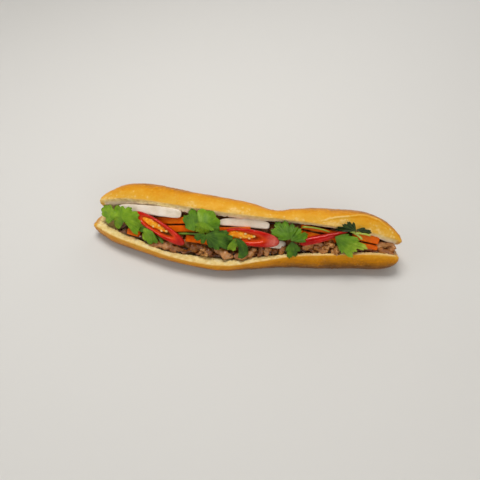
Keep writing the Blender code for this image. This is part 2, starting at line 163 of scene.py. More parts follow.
def halfRoll(half):
    # grids of points (ring, place, xyz) over the crust and over the cut crumb of one half, and its two tips
    edgeRail, depthRail, faceRail, side = {
        "tray": (roll["rim"], roll["trayDepth"], roll["rimFace"], 1),
        "lid": (roll["lip"], roll["lidDepth"], roll["lipFace"], -1),
    }[half]
    (left, leftLength), (right, rightLength) = roll[half + "Tips"]
    facePlaces = roll["facePlaces"][half]
    crust, crumb = [], []
    for x, scale, tip in ringStations(left, leftLength, right, rightLength):
        edge, hinge = railAt(edgeRail, x)[0], railAt(roll["hinge"], x)[0]
        if side < 0:
            hinge = hinge + np.array(roll["lidGap"])
        width = float(np.hypot(*(hinge - edge)))
        run = (hinge - edge) / width
        below = np.array([run[1], -run[0]]) * side
        edge = np.array(tip[1:]) + (edge - np.array(tip[1:])) * scale
        width, depth = width * scale, valueAt(depthRail, x) * scale
        # the trough rises towards the tips, so that each half ends in solid crumb
        face = min(valueAt(faceRail, x), width * roll["widestFace"])
        opening = clamp(min(x - left[0], right[0] - x) / roll["troughRamp"])
        trough = max(depth - roll["crumbThickness"], 0.0) * opening * opening * (3 - 2 * opening)
        u, v = superellipse(face, width, trough, roll["troughFullness"], roll["troughPlaces"])
        u, v = np.append(np.linspace(0, face, facePlaces)[:-1], u), np.append(np.zeros(facePlaces - 1), v)
        if side < 0:  # the lid's crumb bulges towards the filling, back from the lip
            swollen = np.exp(-((u - roll["bulgeMiddle"]) / roll["bulgeWidth"]) ** 2)
            started = 1 - np.exp(-((u / roll["bulgeStart"]) ** 2))
            v = v - valueAt(roll["lipBulge"], x) * scale * swollen * started
        reach = width + roll["hingeBand"] * scale
        outer = superellipse(0, reach, depth, roll["crustFullness"], roll["crustPlaces"])
        for store, (along, down) in ((crust, outer), (crumb, (u, v))):
            section = edge + along[:, None] * run + down[:, None] * below
            if store is crust:
                section[:, 1] = np.maximum(section[:, 1], 0)
            store.append(np.column_stack([np.full(len(section), x), section]))
    return np.array(crust), np.array(crumb), left, right


def gridFaces(rows, columns, closed=False):
    faces = []
    for start in range(0, (rows - 1) * columns, columns):
        for c in range(columns if closed else columns - 1):
            near, far = start + c, start + (c + 1) % columns
            faces.append((near, far, far + columns, near + columns))
    return faces


def skin(rings, startPole, endPole):
    # closed skin over equal closed rings, shut by a pole at each end
    rows, columns = len(rings), len(rings[0])
    vertices = np.vstack([np.reshape(rings, (-1, 3)), [startPole, endPole]])
    faces = gridFaces(rows, columns, closed=True)
    first, last, end = rows * columns, rows * columns + 1, (rows - 1) * columns
    for c in range(columns):
        d = (c + 1) % columns
        faces += [(first, d, c), (last, end + c, end + d)]
    return vertices, faces


halves = {half: halfRoll(half) for half in ("tray", "lid")}
trayCrust, _, trayLeft, _ = halves["tray"]
lowCorner = np.minimum(trayCrust.reshape(-1, 3).min(0), (trayLeft[0], 0, 0))
rollShift = np.array(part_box("bread")[0]) / mm - lowCorner
rollShift[2] = 0  # the underside is the floor in both
print("roll placed, shift in mm:", np.round(rollShift, 2))

supports = []  # what a leaf can come to rest on


def joined(parts):
    # one body's places and faces from those of several
    places, faces, base = [], [], 0
    for some, sides in parts:
        places.append(some)
        faces += [tuple(i + base for i in side) for side in sides]
        base += len(some)
    return np.vstack(places), faces


def setValues(mesh, **layers):
    # named numbers, one for each point of the mesh, which the materials read
    for key, values in layers.items():
        mesh.attributes.new(key, "FLOAT", "POINT").data.foreach_set("value", np.asarray(values, np.float32))


def tidyNormals(mesh):
    tidy = bmesh.new()
    tidy.from_mesh(mesh)
    bmesh.ops.recalc_face_normals(tidy, faces=tidy.faces)
    tidy.to_mesh(mesh)
    tidy.free()


def place(name, mesh):
    mesh.name = name
    piece = bpy.data.objects.new(name, mesh)
    bpy.context.scene.collection.objects.link(piece)
    return piece


def newPiece(name, vertices, faces, material=None, carries=False, **layers):
    # a mesh object from places in the roll's own mm, moved to where the solids are
    if carries:
        supports.append(BVHTree.FromPolygons(vertices.tolist(), faces))
    mesh = bpy.data.meshes.new(name)
    mesh.from_pydata(((vertices + rollShift) * mm).tolist(), [], faces)
    tidyNormals(mesh)
    setValues(mesh, **layers)
    mesh.shade_smooth()
    if material:
        mesh.materials.append(material)
    return place(name, mesh)


def rooted(piece, slotName, *nodes):
    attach(piece, "root")
    if nodes:
        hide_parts(*nodes)


def evaluated(piece):
    # the piece's mesh with its modifiers worked in; the piece itself goes
    mesh = bpy.data.meshes.new_from_object(piece.evaluated_get(bpy.context.evaluated_depsgraph_get()))
    bpy.data.objects.remove(piece)
    return mesh


def meshPlaces(mesh):
    # the mesh's points in the roll's own mm
    values = np.empty(len(mesh.vertices) * 3)
    mesh.vertices.foreach_get("co", values)
    return values.reshape(-1, 3) / mm - rollShift


def surfaceOf(mesh):
    return BVHTree.FromPolygons(meshPlaces(mesh).tolist(), [tuple(p.vertices) for p in mesh.polygons])


def hexColour(code):
    parts = [int(code[i:i + 2], 16) / 255 for i in (1, 3, 5)]
    return tuple(c / 12.92 if c <= 0.04045 else ((c + 0.055) / 1.055) ** 2.4 for c in parts) + (1.0,)


def startMaterial(name, roughness=0.5, coat=0.0, coatRoughness=0.1, subsurface=0.0,
                  radius=(0.003, 0.0015, 0.001), specular=0.5, glossTint="#ffffff"):
    material = bpy.data.materials.new(name)
    material.use_nodes = True
    settings = {"Roughness": roughness, "Coat Weight": coat, "Coat Roughness": coatRoughness,
                "Subsurface Weight": subsurface, "Subsurface Radius": radius, "Specular IOR Level": specular,
                "Specular Tint": hexColour(glossTint)}
    for key, value in settings.items():
        material.node_tree.nodes["Principled BSDF"].inputs[key].default_value = value
    return material, material.node_tree


def finishMaterial(material, sockets, height, depth, strength):
    # feeds the shader's sockets, and adds a relief that stands depth mm high
    tree = material.node_tree
    relief = node(tree, "ShaderNodeBump", {"Height": height, "Strength": strength, "Distance": depth * mm})
    for key, value in {**sockets, "Normal": relief.outputs["Normal"]}.items():
        tree.links.new(value, tree.nodes["Principled BSDF"].inputs[key])
    return material


def mottledMaterial(name, patches, stops, grain, depth, strength, **gloss):
    # patches and grain are (size, detail) of the noise in the colour and in the relief
    material, tree = startMaterial(name, **gloss)
    colour = ramp(noiseAt(tree, *patches), *stops)
    return finishMaterial(material, {"Base Color": colour}, noiseAt(tree, *grain), depth, strength)


def node(tree, kind, inputs=None, **settings):
    made = tree.nodes.new(kind)
    for key, value in settings.items():
        setattr(made, key, value)
    for key, value in (inputs or {}).items():
        if isinstance(value, bpy.types.NodeSocket):
            tree.links.new(value, made.inputs[key])
        else:
            made.inputs[key].default_value = value
    return made


def attribute(tree, name):
    return node(tree, "ShaderNodeAttribute", attribute_name=name).outputs["Fac"]


def objectPlace(tree, stretch=None):
    # one node gives the place to the whole tree; a stretch under 1 draws patterns out along that axis
    where = (tree.nodes.get("Texture Coordinate") or tree.nodes.new("ShaderNodeTexCoord")).outputs["Object"]
    if stretch:
        where = node(tree, "ShaderNodeMapping", {"Vector": where, "Scale": stretch}).outputs[0]
    return where


def noiseAt(tree, size, detail=3.0, roughness=0.55, stretch=None):
    # size is the width of one patch of the noise, in mm
    return node(tree, "ShaderNodeTexNoise", {"Vector": objectPlace(tree, stretch), "Scale": 1 / (size * mm),
                                             "Detail": detail, "Roughness": roughness}).outputs["Fac"]


def cellsAt(tree, size, feature="F1"):
    return node(tree, "ShaderNodeTexVoronoi", {"Vector": objectPlace(tree), "Scale": 1 / (size * mm)},
                feature=feature).outputs["Distance"]


def calc(operation, a, b=0.0, c=0.0):
    # the first value is always a socket, and its tree gets the new node
    return node(a.id_data, "ShaderNodeMath", {0: a, 1: b, 2: c}, operation=operation).outputs[0]


def times(a, b):
    return calc("MULTIPLY", a, b)


def plus(total, *values):
    for value in values:
        total = calc("ADD", total, value)
    return total


def offset(value, amount):
    # a 0..1 pattern turned into a shift of plus or minus half the amount
    return calc("MULTIPLY_ADD", value, amount, -amount / 2)


def span(value, low, high, newLow=0.0, newHigh=1.0):
    return node(value.id_data, "ShaderNodeMapRange",
                {"Value": value, "From Min": low, "From Max": high, "To Min": newLow, "To Max": newHigh},
                interpolation_type="SMOOTHSTEP").outputs["Result"]


def blend(share, first, second):
    second = hexColour(second) if isinstance(second, str) else second
    return node(share.id_data, "ShaderNodeMix", {0: share, 6: first, 7: second}, data_type="RGBA").outputs[2]


def mix(share, first, second):
    inputs = {0: share, 2: first, 3: second}
    return node(share.id_data, "ShaderNodeMix", inputs, data_type="FLOAT").outputs[0]


def layered(colour, *coats):
    # each coat is (where it shows, how strongly, its colour)
    for mark, strength, coat in coats:
        colour = blend(times(mark, strength), colour, coat)
    return colour


def ramp(value, *stops):
    made = node(value.id_data, "ShaderNodeValToRGB", {"Fac": value})
    elements = made.color_ramp.elements
    while len(elements) < len(stops):
        elements.new(0.5)
    for element, (position, colour) in zip(elements, stops):
        element.position = position
        element.color = hexColour(colour)
    return made.outputs["Color"]


def randomBetween(tree, low, high, seed):
    inputs = {2: low, 3: high, "Seed": seed}
    return node(tree, "FunctionNodeRandomValue", inputs, data_type="FLOAT").outputs[1]


def combine(tree, **axes):
    return node(tree, "ShaderNodeCombineXYZ", axes).outputs[0]


def scatterTree(name, material):
    # small uneven lumps strewn over a surface, thick where its own mask is high
    tree = bpy.data.node_groups.new(name, "GeometryNodeTree")
    tree.is_modifier = True
    sockets = {}
    kinds = {"Geometry": "Geometry", "Spacing": "Float", "Density": "Float", "Least Size": "Float",
             "Most Size": "Float", "Flatness": "Float", "Raggedness": "Float", "Seed": "Int"}
    for key, kind in kinds.items():
        made = tree.interface.new_socket(key, in_out="INPUT", socket_type="NodeSocket" + kind)
        sockets[key] = made.identifier
    tree.interface.new_socket("Geometry", in_out="OUTPUT", socket_type="NodeSocketGeometry")
    inside = tree.nodes.new("NodeGroupInput").outputs
    mask = node(tree, "GeometryNodeInputNamedAttribute", {"Name": "strewn"}, data_type="FLOAT")
    spots = node(tree, "GeometryNodeDistributePointsOnFaces", {
        "Mesh": inside["Geometry"], "Distance Min": inside["Spacing"], "Density Max": inside["Density"],
        "Density Factor": mask.outputs["Attribute"], "Seed": inside["Seed"],
    }, distribute_method="POISSON").outputs
    lump = node(tree, "GeometryNodeMeshUVSphere", {"Radius": 1.0, "Segments": 7, "Rings": 5}).outputs["Mesh"]
    size = randomBetween(tree, inside["Least Size"], inside["Most Size"], inside["Seed"])
    stretch = randomBetween(tree, 0.8, 1.7, 5)
    scale = combine(tree, X=times(size, stretch), Y=size, Z=times(size, inside["Flatness"]))
    spin = combine(tree, Z=randomBetween(tree, 0.0, 6.283, 9))
    turn = node(tree, "FunctionNodeRotateRotation", {0: spots["Rotation"], 1: spin},
                rotation_space="LOCAL").outputs[0]
    ragged = node(tree, "ShaderNodeTexNoise", {"Scale": 1 / (0.9 * mm), "Detail": 2.0}).outputs["Color"]
    centred = node(tree, "ShaderNodeVectorMath", {0: ragged, 1: (-0.5, -0.5, -0.5)}, operation="ADD")
    shove = node(tree, "ShaderNodeVectorMath", {0: centred.outputs[0], "Scale": inside["Raggedness"]},
                 operation="SCALE").outputs[0]
    lumps = node(tree, "GeometryNodeInstanceOnPoints",
                 {"Points": spots["Points"], "Instance": lump, "Rotation": turn, "Scale": scale}).outputs[0]
    for kind, inputs in (
        ("GeometryNodeRealizeInstances", {}),
        ("GeometryNodeSetPosition", {"Offset": shove}),
        ("GeometryNodeSetShadeSmooth", {}),
        ("GeometryNodeSetMaterial", {"Material": material}),
    ):
        lumps = node(tree, kind, {"Geometry": lumps, **inputs}).outputs[0]
    node(tree, "NodeGroupOutput", {0: lumps})
    return tree, sockets


def strew(name, bed, mask, material, settings):
    # scatters over the bed's mesh by a mask of one number a point, and gives back the lumps alone
    mesh = bed.data.copy()
    setValues(mesh, strewn=mask)
    carrier = place(name + "Bed", mesh)
    tree, sockets = scatterTree(name + "Scatter", material)
    modifier = carrier.modifiers.new("strew", "NODES")
    modifier.node_group = tree
    for key, value in settings.items():
        modifier[sockets[key]] = value
    lumps = evaluated(carrier)
    for key in breadLayers:
        if key in lumps.attributes:
            lumps.attributes.remove(lumps.attributes[key])
    print(name + ":", len(lumps.polygons), "faces")
    return place(name, lumps)


bread = {  # sizes in mm; the two lines are (along, across) places over the mouth
    "voxel": 0.80, "smoothing": 5, "softening": 0.5, "mostFaces": 194000,
    "swell": 0.55, "swellSize": 24.0, "wrinkle": 0.2, "wrinkleSize": 2.8, "blister": 0.36, "blisterSize": 3.8,
    "lumps": 0.42, "lumpSize": 6.5, "bubble": 0.85, "bubbleSize": 2.9, "fray": 0.20, "fraySize": 1.7,
    "crustEdge": 1.5, "tipCrust": 4.6, "creaseDepth": 1.2, "girdleStart": 0.60, "girdleWidth": 0.32,
    "scoreLine": ((66, 17.5), (74, 19.6), (85, 23.4), (96, 25.3), (107, 27.4), (114, 27.4), (124, 24.8),
                  (133, 19.5), (140, 13)),
    "scoreStart": 66, "scoreEnd": 141, "scoreStep": 0.9, "scoreDip": 0.2,
    "tornLine": ((-104, 19.0), (-97, 19.5), (-89, 19.6), (-77, 18.5), (-65, 16.9), (-52, 15.2)),
    "tornLift": 1.5, "tornWidth": 1.3, "stainReach": 8.0, "stainFade": 2.5,
    "crumbs": {"Spacing": 0.9 * mm, "Density": 90000.0, "Least Size": 0.2 * mm, "Most Size": 0.5 * mm,
               "Flatness": 0.7, "Raggedness": 0.9 * mm, "Seed": 3},
}


breadLayers = "crust", "bake", "soak", "hole", "pale", "strewn"


def breadMaterial():
    material, tree = startMaterial("bakedBread", 0.5, specular=0.30, glossTint="#ffc064")
    crust, bake, soak, hole, pale = (attribute(tree, name) for name in breadLayers[:-1])
    patches, fine, grit = noiseAt(tree, 13, 3), noiseAt(tree, 2.2, 4), noiseAt(tree, 0.8, 3)
    streaks = noiseAt(tree, 2.4, 4, stretch=(0.16, 1, 1))
    baked = plus(bake, offset(patches, 0.38), offset(fine, 0.26), offset(streaks, 0.20),
                 offset(noiseAt(tree, 34, 2), 0.30))
    fleck = times(span(cellsAt(tree, 3.6), 0.13, 0.03), span(noiseAt(tree, 8, 2), 0.50, 0.64))
    freckle = times(span(cellsAt(tree, 2.7), 0.10, 0.04), span(noiseAt(tree, 11, 2), 0.52, 0.62))
    flour = times(span(noiseAt(tree, 18, 3), 0.48, 0.70), span(noiseAt(tree, 1.1, 5, 0.7), 0.50, 0.66))
    girdle = times(pale, span(patches, 0.35, 0.62, 0.25, 0.7))
    crustColour = ramp(baked, (0.0, "#ebc372"), (0.06, "#e3ad42"), (0.14, "#e0a32e"), (0.30, "#dc9318"),
                       (0.46, "#ca800c"), (0.62, "#a8690f"), (0.80, "#794a10"), (1.0, "#4a2c0c"))
    crustColour = layered(crustColour, (fleck, 0.6, "#f0cf86"), (freckle, 0.35, "#a3590f"),
                          (flour, 0.28, "#e6c283"), (girdle, 1.0, "#d3a55c"))
    crumbColour = ramp(noiseAt(tree, 6, 4), (0.25, "#e2c075"), (0.5, "#f4d993"), (0.75, "#fbeab6"))
    # painted shade darkens the crumb in its bubbles; the soak coat is meat juice in the crumb and, under the
    # lid's left end, painted shade; pale on the lid's crumb is painted light
    crumbColour = layered(crumbColour, (hole, 0.45, "#cfa659"), (soak, 0.85, "#7a4315"),
                          (pale, 0.6, "#f9e6d6"))
    crackle = span(cellsAt(tree, 3.0, "DISTANCE_TO_EDGE"), 0.0, 0.06)
    crustBump = plus(times(fine, 0.8), times(fleck, 0.7), times(crackle, 0.10), times(streaks, 0.5),
                     times(grit, 0.34))
    crumbBump = plus(times(span(cellsAt(tree, 1.3), 0.1, 0.5), 0.9), times(grit, 0.8))
    sockets = {"Base Color": blend(crust, crumbColour, crustColour),
               "Roughness": plus(mix(crust, 0.85, 0.36), offset(fine, 0.22))}
    return finishMaterial(material, sockets, mix(crust, crumbBump, crustBump), 0.28, 0.7)


def nearestOn(line, flat):
    # how far each (along, across) place lies from a line, and on which side of it
    line = np.array(line, float)
    nearest, side = np.full(len(flat), 99.0), np.ones(len(flat))
    for start, end in zip(line[:-1], line[1:]):
        run = end - start
        share = np.clip(((flat - start) @ run) / (run @ run), 0, 1)
        away = flat - (start + share[:, None] * run)
        distance = np.linalg.norm(away, axis=1)
        closer = distance < nearest
        nearest[closer] = distance[closer]
        side[closer] = np.sign(run[0] * away[closer, 1] - run[1] * away[closer, 0])
    return nearest, side


def domeAt(point, size, variety, salt):
    # 1 at the middle of the nearest of many scattered round spots, and 0 outside it
    distances, centres = noise.voronoi(point / size)
    radius = 0.20 + variety * abs(noise.cell(centres[0] * salt))
    return max(0.0, 1 - (distances[0] / radius) ** 2)


def crustRelief(point):
    # slow swells, fine wrinkles and crowds of blisters; gives the lift and how far up a blister it is
    along = Vector((point.x * 0.4, point.y, point.z))
    size = bread["blisterSize"]
    blister = max(domeAt(point, size, 0.26, 5.1), 0.45 * domeAt(point, size * 0.45, 0.26, 5.1))
    blister *= clamp((noise.noise(point / 17) + 0.12) * 4)
    lift = bread["swell"] * fractal(point, bread["swellSize"], 2)
    lift += bread["wrinkle"] * fractal(along, bread["wrinkleSize"], 3)
    return lift + bread["blister"] * blister, blister


def crumbRelief(point):
    # soft lumps with long bubbles sunk in them; gives the lift and how deep in a bubble it is
    long = Vector((point.x * 0.7, point.y, point.z))
    size = bread["bubbleSize"]
    large, small = domeAt(long, size, 0.28, 7.3), domeAt(long, size * 0.52, 0.28, 7.3)
    hole = max(math.sqrt(large), 0.5 * math.sqrt(small))
    lift = bread["lumps"] * fractal(long, bread["lumpSize"], 3)
    lift += bread["fray"] * fractal(point, bread["fraySize"], 2)
    return lift - bread["bubble"] * hole, hole


def scoreRelief(s):
    # the lift and the change of tone at s mm up from the slanting score; the crust above it stands proud
    step = ease(s / 1.6 + 0.5)
    upper, lower = bread["scoreStep"] * math.exp(-max(s, 0) / 8), -bread["scoreDip"] * math.exp(min(s, 0) / 5)
    tone = 0.04 * step - 0.10 * math.exp(min(s, 0) / 9) * (1 - step) - 0.42 * hump(s, 1.2, 0.75)
    return upper * step + lower * (1 - step), tone


def girdleAt(around):
    # 1 towards the hinge, where the loaf's own side was and the crust stayed pale
    return ease((around - bread["girdleStart"]) / bread["girdleWidth"])


def bakeTone(half, around, point):
    # 0 is pale and 1 dark brown; around runs from the cut edge over the crust to the hinge
    x, girdle = point.x, 0.22 * girdleAt(around)
    if half == "lid":
        tone = 0.13 + 0.40 * min(around / 0.26, 1.0)
        tone -= 0.12 * clamp((-112 - x) / 25) + 0.07 * hump(x, -20, 40)
        tone -= 0.04 * clamp((x - 45) / 40)
        tone += 0.08 * clamp((x - 15) / 20) * clamp((around - 0.22) / 0.12)
        return tone + 0.10 * hump(around, 0.42, 0.16) - girdle
    tone = 0.22 + 0.52 * min(around / 0.17, 1.0) ** 0.85
    tone -= 0.03 * clamp((-60 - x) / 50)
    tone += 0.05 * clamp((x - 30) / 60) + 0.08 * hump(x, 15, 75)
    return tone - 0.22 * max(0.0, 1 - point.z / 4.5) - girdle


def fusedLoaf():
    # both halves as one closed body with even faces, softened where they meet
    parts = [skin(np.concatenate([crust, crumb[:, ::-1]], axis=1), left, right)
             for crust, crumb, left, right in halves.values()]
    rough = newPiece("breadRough", *joined(parts))
    fuse = rough.modifiers.new("fuse", "REMESH")
    fuse.mode, fuse.voxel_size = "VOXEL", bread["voxel"] * mm
    soften = rough.modifiers.new("soften", "SMOOTH")
    soften.iterations, soften.factor = bread["smoothing"], bread["softening"]
    return evaluated(rough)


def patchOf(grid):
    return BVHTree.FromPolygons(grid.reshape(-1, 3).tolist(), gridFaces(*grid.shape[:2]))


def nearHalf(point, patches):
    # the half that a point is on, how far it is from that half's crust and crumb, and how far round the crust
    found = {}
    for half, (outside, inside, places) in patches.items():
        _, _, index, distance = outside.find_nearest(point)
        found[half] = (distance, inside.find_nearest(point)[3], index % places / (places - 1))
    half = min(found, key=lambda h: min(found[h][:2]))
    outer, inner, around = found[half]
    other = found["lid" if half == "tray" else "tray"]
    if min(other[:2]) < bread["creaseDepth"]:  # the crease behind the hinge is crust of both halves
        outer = min(outer, other[0])
    return half, outer, inner, around


def breadAt(point, patches, meat, out, score, scoreFade, torn):
    # every layer's value at one point, and last how far the point is lifted
    half, outer, inner, around = nearHalf(point, patches)
    lid, (_, _, left, right) = half == "lid", halves[half]
    reach = min(point.x - left[0], right[0] - point.x)
    crust = ease(0.5 + (inner - outer) / (2 * bread["crustEdge"]))
    crust = max(crust, clamp((bread["tipCrust"] - reach) / 2.0 + 0.5))
    # on the lid's crumb, pale is painted light that lifts the crumb out of the lid's shade; on the crust it
    # is the real pale side by the hinge
    pale = crust * girdleAt(around) + (1 - crust) * lid * clamp((outer - 2) / 3)
    # painted shade darkens the crumb under the lid's left end, where the lid hangs over it
    soak = (1 - crust) * 0.30 * clamp((-98 - point.x) / 14) * clamp((outer - 1) / 3) if lid else 0.0
    bake, lift, hole, strewn = bakeTone(half, around, point), 0.0, 0.0, 0.0
    if crust > 0.02:
        rise, blister = crustRelief(point)
        bake -= 0.15 * blister
        if lid and scoreFade > 0:
            step, tone = scoreRelief(score)
            rise += step * scoreFade
            bake += tone * scoreFade
        lift = crust * rise
    if crust < 0.98:
        rise, hole = crumbRelief(point)
        if lid and out > -14:
            ridge = bread["tornLift"] * hump(torn, 0, bread["tornWidth"])
            rise += ridge * (0.75 + 0.8 * noise.noise(point / 2.5))
        lift += (1 - crust) * rise * min(1.0, 0.35 + outer / 4)
        near = meat.find_nearest(point, bread["stainReach"])[3]
        if near is not None:
            stain = clamp(0.6 + 0.9 * fractal(point + Vector((40, 0, 0)), 7.0, 2))
            soak = max(soak, (1 - crust) * stain * math.exp(-near / bread["stainFade"]))
        strewn = (1 - crust) * math.exp(-outer / 3.5) * clamp(noise.noise(point / 6) + 0.35)
    return crust, bake, soak, hole, pale, strewn, lift * clamp(point.z / 3.0)


def makeBread():
    mesh = fusedLoaf()
    places, normals = meshPlaces(mesh), np.empty(len(mesh.vertices) * 3)
    mesh.vertex_normals.foreach_get("vector", normals)
    patches = {half: (patchOf(crust), patchOf(crumb), crust.shape[1] - 1)
               for half, (crust, crumb, _, _) in halves.items()}
    meat, along = surfaceOf(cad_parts["pork_filling"].data), places[:, 0]
    across, out = inMouth(places[:, 1:])
    flat = np.column_stack([along, across])
    score, scoreSide = nearestOn(bread["scoreLine"], flat)
    torn, _ = nearestOn(bread["tornLine"], flat)
    scoreFade = (np.clip((along - bread["scoreStart"]) / 18, 0, 1)
                 * np.clip((bread["scoreEnd"] - along) / 16, 0, 1) * np.clip((out + 6) / 8, 0, 1))
    rows = zip(places, out, score * scoreSide, scoreFade, torn)
    values = np.array([breadAt(Vector(point), patches, meat, *rest) for point, *rest in rows])
    lifted = places + normals.reshape(-1, 3) * values[:, -1:]
    mesh.vertices.foreach_set("co", ((lifted + rollShift) * mm).ravel())
    setValues(mesh, **dict(zip(breadLayers, values.T)))
    mesh.calc_loop_triangles()
    triangles = len(mesh.loop_triangles)
    fine = place("breadFine", mesh)
    fine.modifiers.new("reduce", "DECIMATE").ratio = min(1.0, bread["mostFaces"] / triangles)
    mesh = evaluated(fine)
    strewn = np.empty(len(mesh.vertices), np.float32)
    mesh.attributes["strewn"].data.foreach_get("value", strewn)
    mesh.attributes.remove(mesh.attributes["strewn"])
    mesh.materials.clear()
    mesh.materials.append(breadMaterial())
    mesh.shade_smooth()
    supports.append(surfaceOf(mesh))
    piece = place("breadRoll", mesh)
    rooted(piece, "bread_crust", "bread")
    print("bread:", triangles, "triangles, kept", len(mesh.polygons))
    rooted(strew("breadCrumbs", piece, strewn, crumbMaterial(), bread["crumbs"]), "bread_crust")


def crumbMaterial():
    stops = (0.3, "#e3cb8c"), (0.6, "#f3e3b2"), (0.8, "#f9efcd")
    return mottledMaterial("looseCrumb", (2.5, 3), stops, (0.4, 3), 0.1, 0.6, roughness=0.85, subsurface=0.1)


makeBread()


def slab(path, side, up, widths, heights, fullness=4.0, around=20, arch=0.0, frill=0.0, lumps=0.0,
         lumpSize=4.0, grain=0.0, seed=0.0):
    # a skin round a path with an oval to boxy section; also gives where each point is along and around
    side, up = np.broadcast_to(side, path.shape), np.broadcast_to(up, path.shape)
    turns = np.linspace(0, 2 * math.pi, around, endpoint=False)
    u, v = boxy(np.cos(turns), fullness), boxy(np.sin(turns), fullness)
    rings, along, turned = [], [], []
    for i, centre in enumerate(path):
        lift = v * heights[i] + arch * widths[i] * (1 - u * u)
        if frill:  # each long edge waves on its own
            waves = [fractal((i / len(path) * 5 + seed, way * 3.7, seed), 1.0, 2) for way in (-1, 1)]
            lift = lift + frill * u * u * np.where(u < 0, *waves)
        rings.append(centre + np.outer(u * widths[i], side[i]) + np.outer(lift, up[i]))
        along += [i / (len(path) - 1)] * around
        turned += (turns / (2 * math.pi)).tolist()
    vertices, faces = skin(rings, path[0] + up[0] * arch * widths[0], path[-1] + up[-1] * arch * widths[-1])
    along, turned = np.array(along + [0.0, 1.0]), np.array(turned + [0.5, 0.5])
    for k, vertex in enumerate(vertices[:-2] if lumps or grain else ()):
        way = vertex - path[k // around]
        reach = np.linalg.norm(way)
        push = lumps * fractal(vertex + np.array([seed, 0, 0]), lumpSize, 2)
        if grain:
            push += grain * fractal((along[k] * 3 + seed, turned[k] * 22, seed), 1.0, 2)
        if reach > 1e-6:
            vertices[k] = vertex + way / reach * push
    return vertices, faces, along, turned


def layDown(start, end, rolled=0.0):
    # length and axes of a piece lying from start to end, rolled about its length
    lengthways = end - start
    length = float(np.linalg.norm(lengthways))
    lengthways = lengthways / length
    outwards = outOfMouth - lengthways * float(outOfMouth @ lengthways)
    outwards = outwards / np.linalg.norm(outwards)
    sideways = np.cross(outwards, lengthways)
    c, s = math.cos(math.radians(rolled)), math.sin(math.radians(rolled))
    return length, lengthways, sideways * c + outwards * s, outwards * c - sideways * s


def cutStrip(start, end, widths, thickness, bow=0.0, sag=0.0, blunt=8.0, fullness=5.0, stations=30, **more):
    start, end = over(*start), over(*end)
    length, lengthways, sideways, outwards = layDown(start, end)
    s = 0.5 - 0.5 * np.cos(np.linspace(0.02, 0.98, stations) * math.pi)
    closing = (1 - np.abs(2 * s - 1) ** blunt) ** (1 / blunt)
    half = (widths[0] + (widths[1] - widths[0]) * s) * closing / 2
    heights = thickness / 2 * (1 - 0.55 * np.abs(2 * s - 1) ** 24)
    path = (start + np.outer(s * length, lengthways) + np.outer(bow * 4 * s * (1 - s), sideways)
            + np.outer(sag * 4 * s * (1 - s), outwards))
    return slab(path, sideways, outwards, half, heights, fullness, **more)


carrots = {
    "bow": 0.3, "cut": dict(sag=0.3, blunt=14, fullness=7.0, around=28, lumps=0.18, lumpSize=7.0),
    "sticks": (  # start and end (along, across, rise), widths, thickness
        ((-86, 3.5, -8.7), (-46, 8.0, -8.7), (6.6, 6.3), 5.5),
        ((-74, -4.0, -8.7), (-44, 0.0, -8.7), (6.6, 6.2), 5.5),
        ((-112, -9.5, -5.0), (-99.5, -11.3, -5.0), (6.0, 5.8), 5.0),
        ((-53, -10.0, -6.5), (-30, -11.0, -6.5), (6.6, 6.2), 5.0),
        ((-23, 1.5, -3.3), (8, 5.4, -3.3), (4.6, 4.2), 3.2),
        ((54, 13.0, -6.5), (98, 8.5, -6.5), (4.0, 3.8), 4.5),
        ((54, 7.0, -7.6), (92, 3.0, -7.6), (5.5, 5.1), 4.5),
        ((102, 9.8, -5.0), (127, 7.0, -5.0), (7.0, 6.8), 5.5),
        ((101, 3.4, -5.5), (127, 0.5, -5.5), (4.8, 4.6), 5.5),
    ),
}


def carrotMaterial():
    material, tree = startMaterial("pickledCarrot", 0.42, 0.05, 0.12, 0.03, (0.002, 0.0008, 0.0002), 0.08)
    fibre = noiseAt(tree, 0.9, 3, 0.6, stretch=(0.22, 1, 1))
    colour = ramp(noiseAt(tree, 8, 3), (0.25, "#cf4a00"), (0.5, "#e66300"), (0.75, "#f4820c"))
    colour = blend(span(fibre, 0.5, 0.75, 0, 0.3), colour, "#f28c14")
    return finishMaterial(material, {"Base Color": colour}, fibre, 0.12, 0.6)


def makeCarrots():
    material = carrotMaterial()
    for number, (start, end, widths, thickness) in enumerate(carrots["sticks"], 1):
        vertices, faces, _, _ = cutStrip(start, end, widths, thickness, carrots["bow"] * (-1) ** number,
                                         seed=number * 17.0, **carrots["cut"])
        stick = newPiece(f"carrotStick{number}", vertices, faces, material, carries=True)
        rooted(stick, "pickled_carrot", f"carrot_stick_{number}")
    print("carrot sticks:", len(carrots["sticks"]))


daikons = {
    "cut": dict(sag=0.5, fullness=4.0, stations=44, around=28, lumps=0.25, lumpSize=9.0),
    "slices": (  # start and end, widths, thickness, bow, bluntness
        ((-123, 12.0, -3.6), (-59, 12.0, -3.6), (7.6, 10.2), 2.8, 0.8, 4.0),
        ((-22, 8.6, -6.2), (25, 10.2, -6.2), (7.6, 9.0), 2.8, 1.2, 3.6),
        ((20, -7.0, -4.6), (42, -6.0, -5.0), (7.0, 7.5), 2.4, 0.0, 4.0),
    ),
}


def daikonMaterial():
    material, tree = startMaterial("pickledDaikon", 0.3, 0.3, 0.12, 0.25, (0.004, 0.0037, 0.003))
    fibre = noiseAt(tree, 0.9, 3, 0.6, stretch=(0.16, 1, 1))
    shade = noiseAt(tree, 5, 2, stretch=(0.3, 1, 1))
    colour = ramp(noiseAt(tree, 10, 3), (0.25, "#dfceb4"), (0.55, "#f1e2cf"), (0.8, "#fbf2e4"))
    colour = blend(span(fibre, 0.5, 0.8, 0, 0.45), colour, "#fffdf6")
    colour = blend(span(shade, 0.55, 0.75, 0, 0.35), colour, "#c9bfa2")
    return finishMaterial(material, {"Base Color": colour}, fibre, 0.08, 0.5)


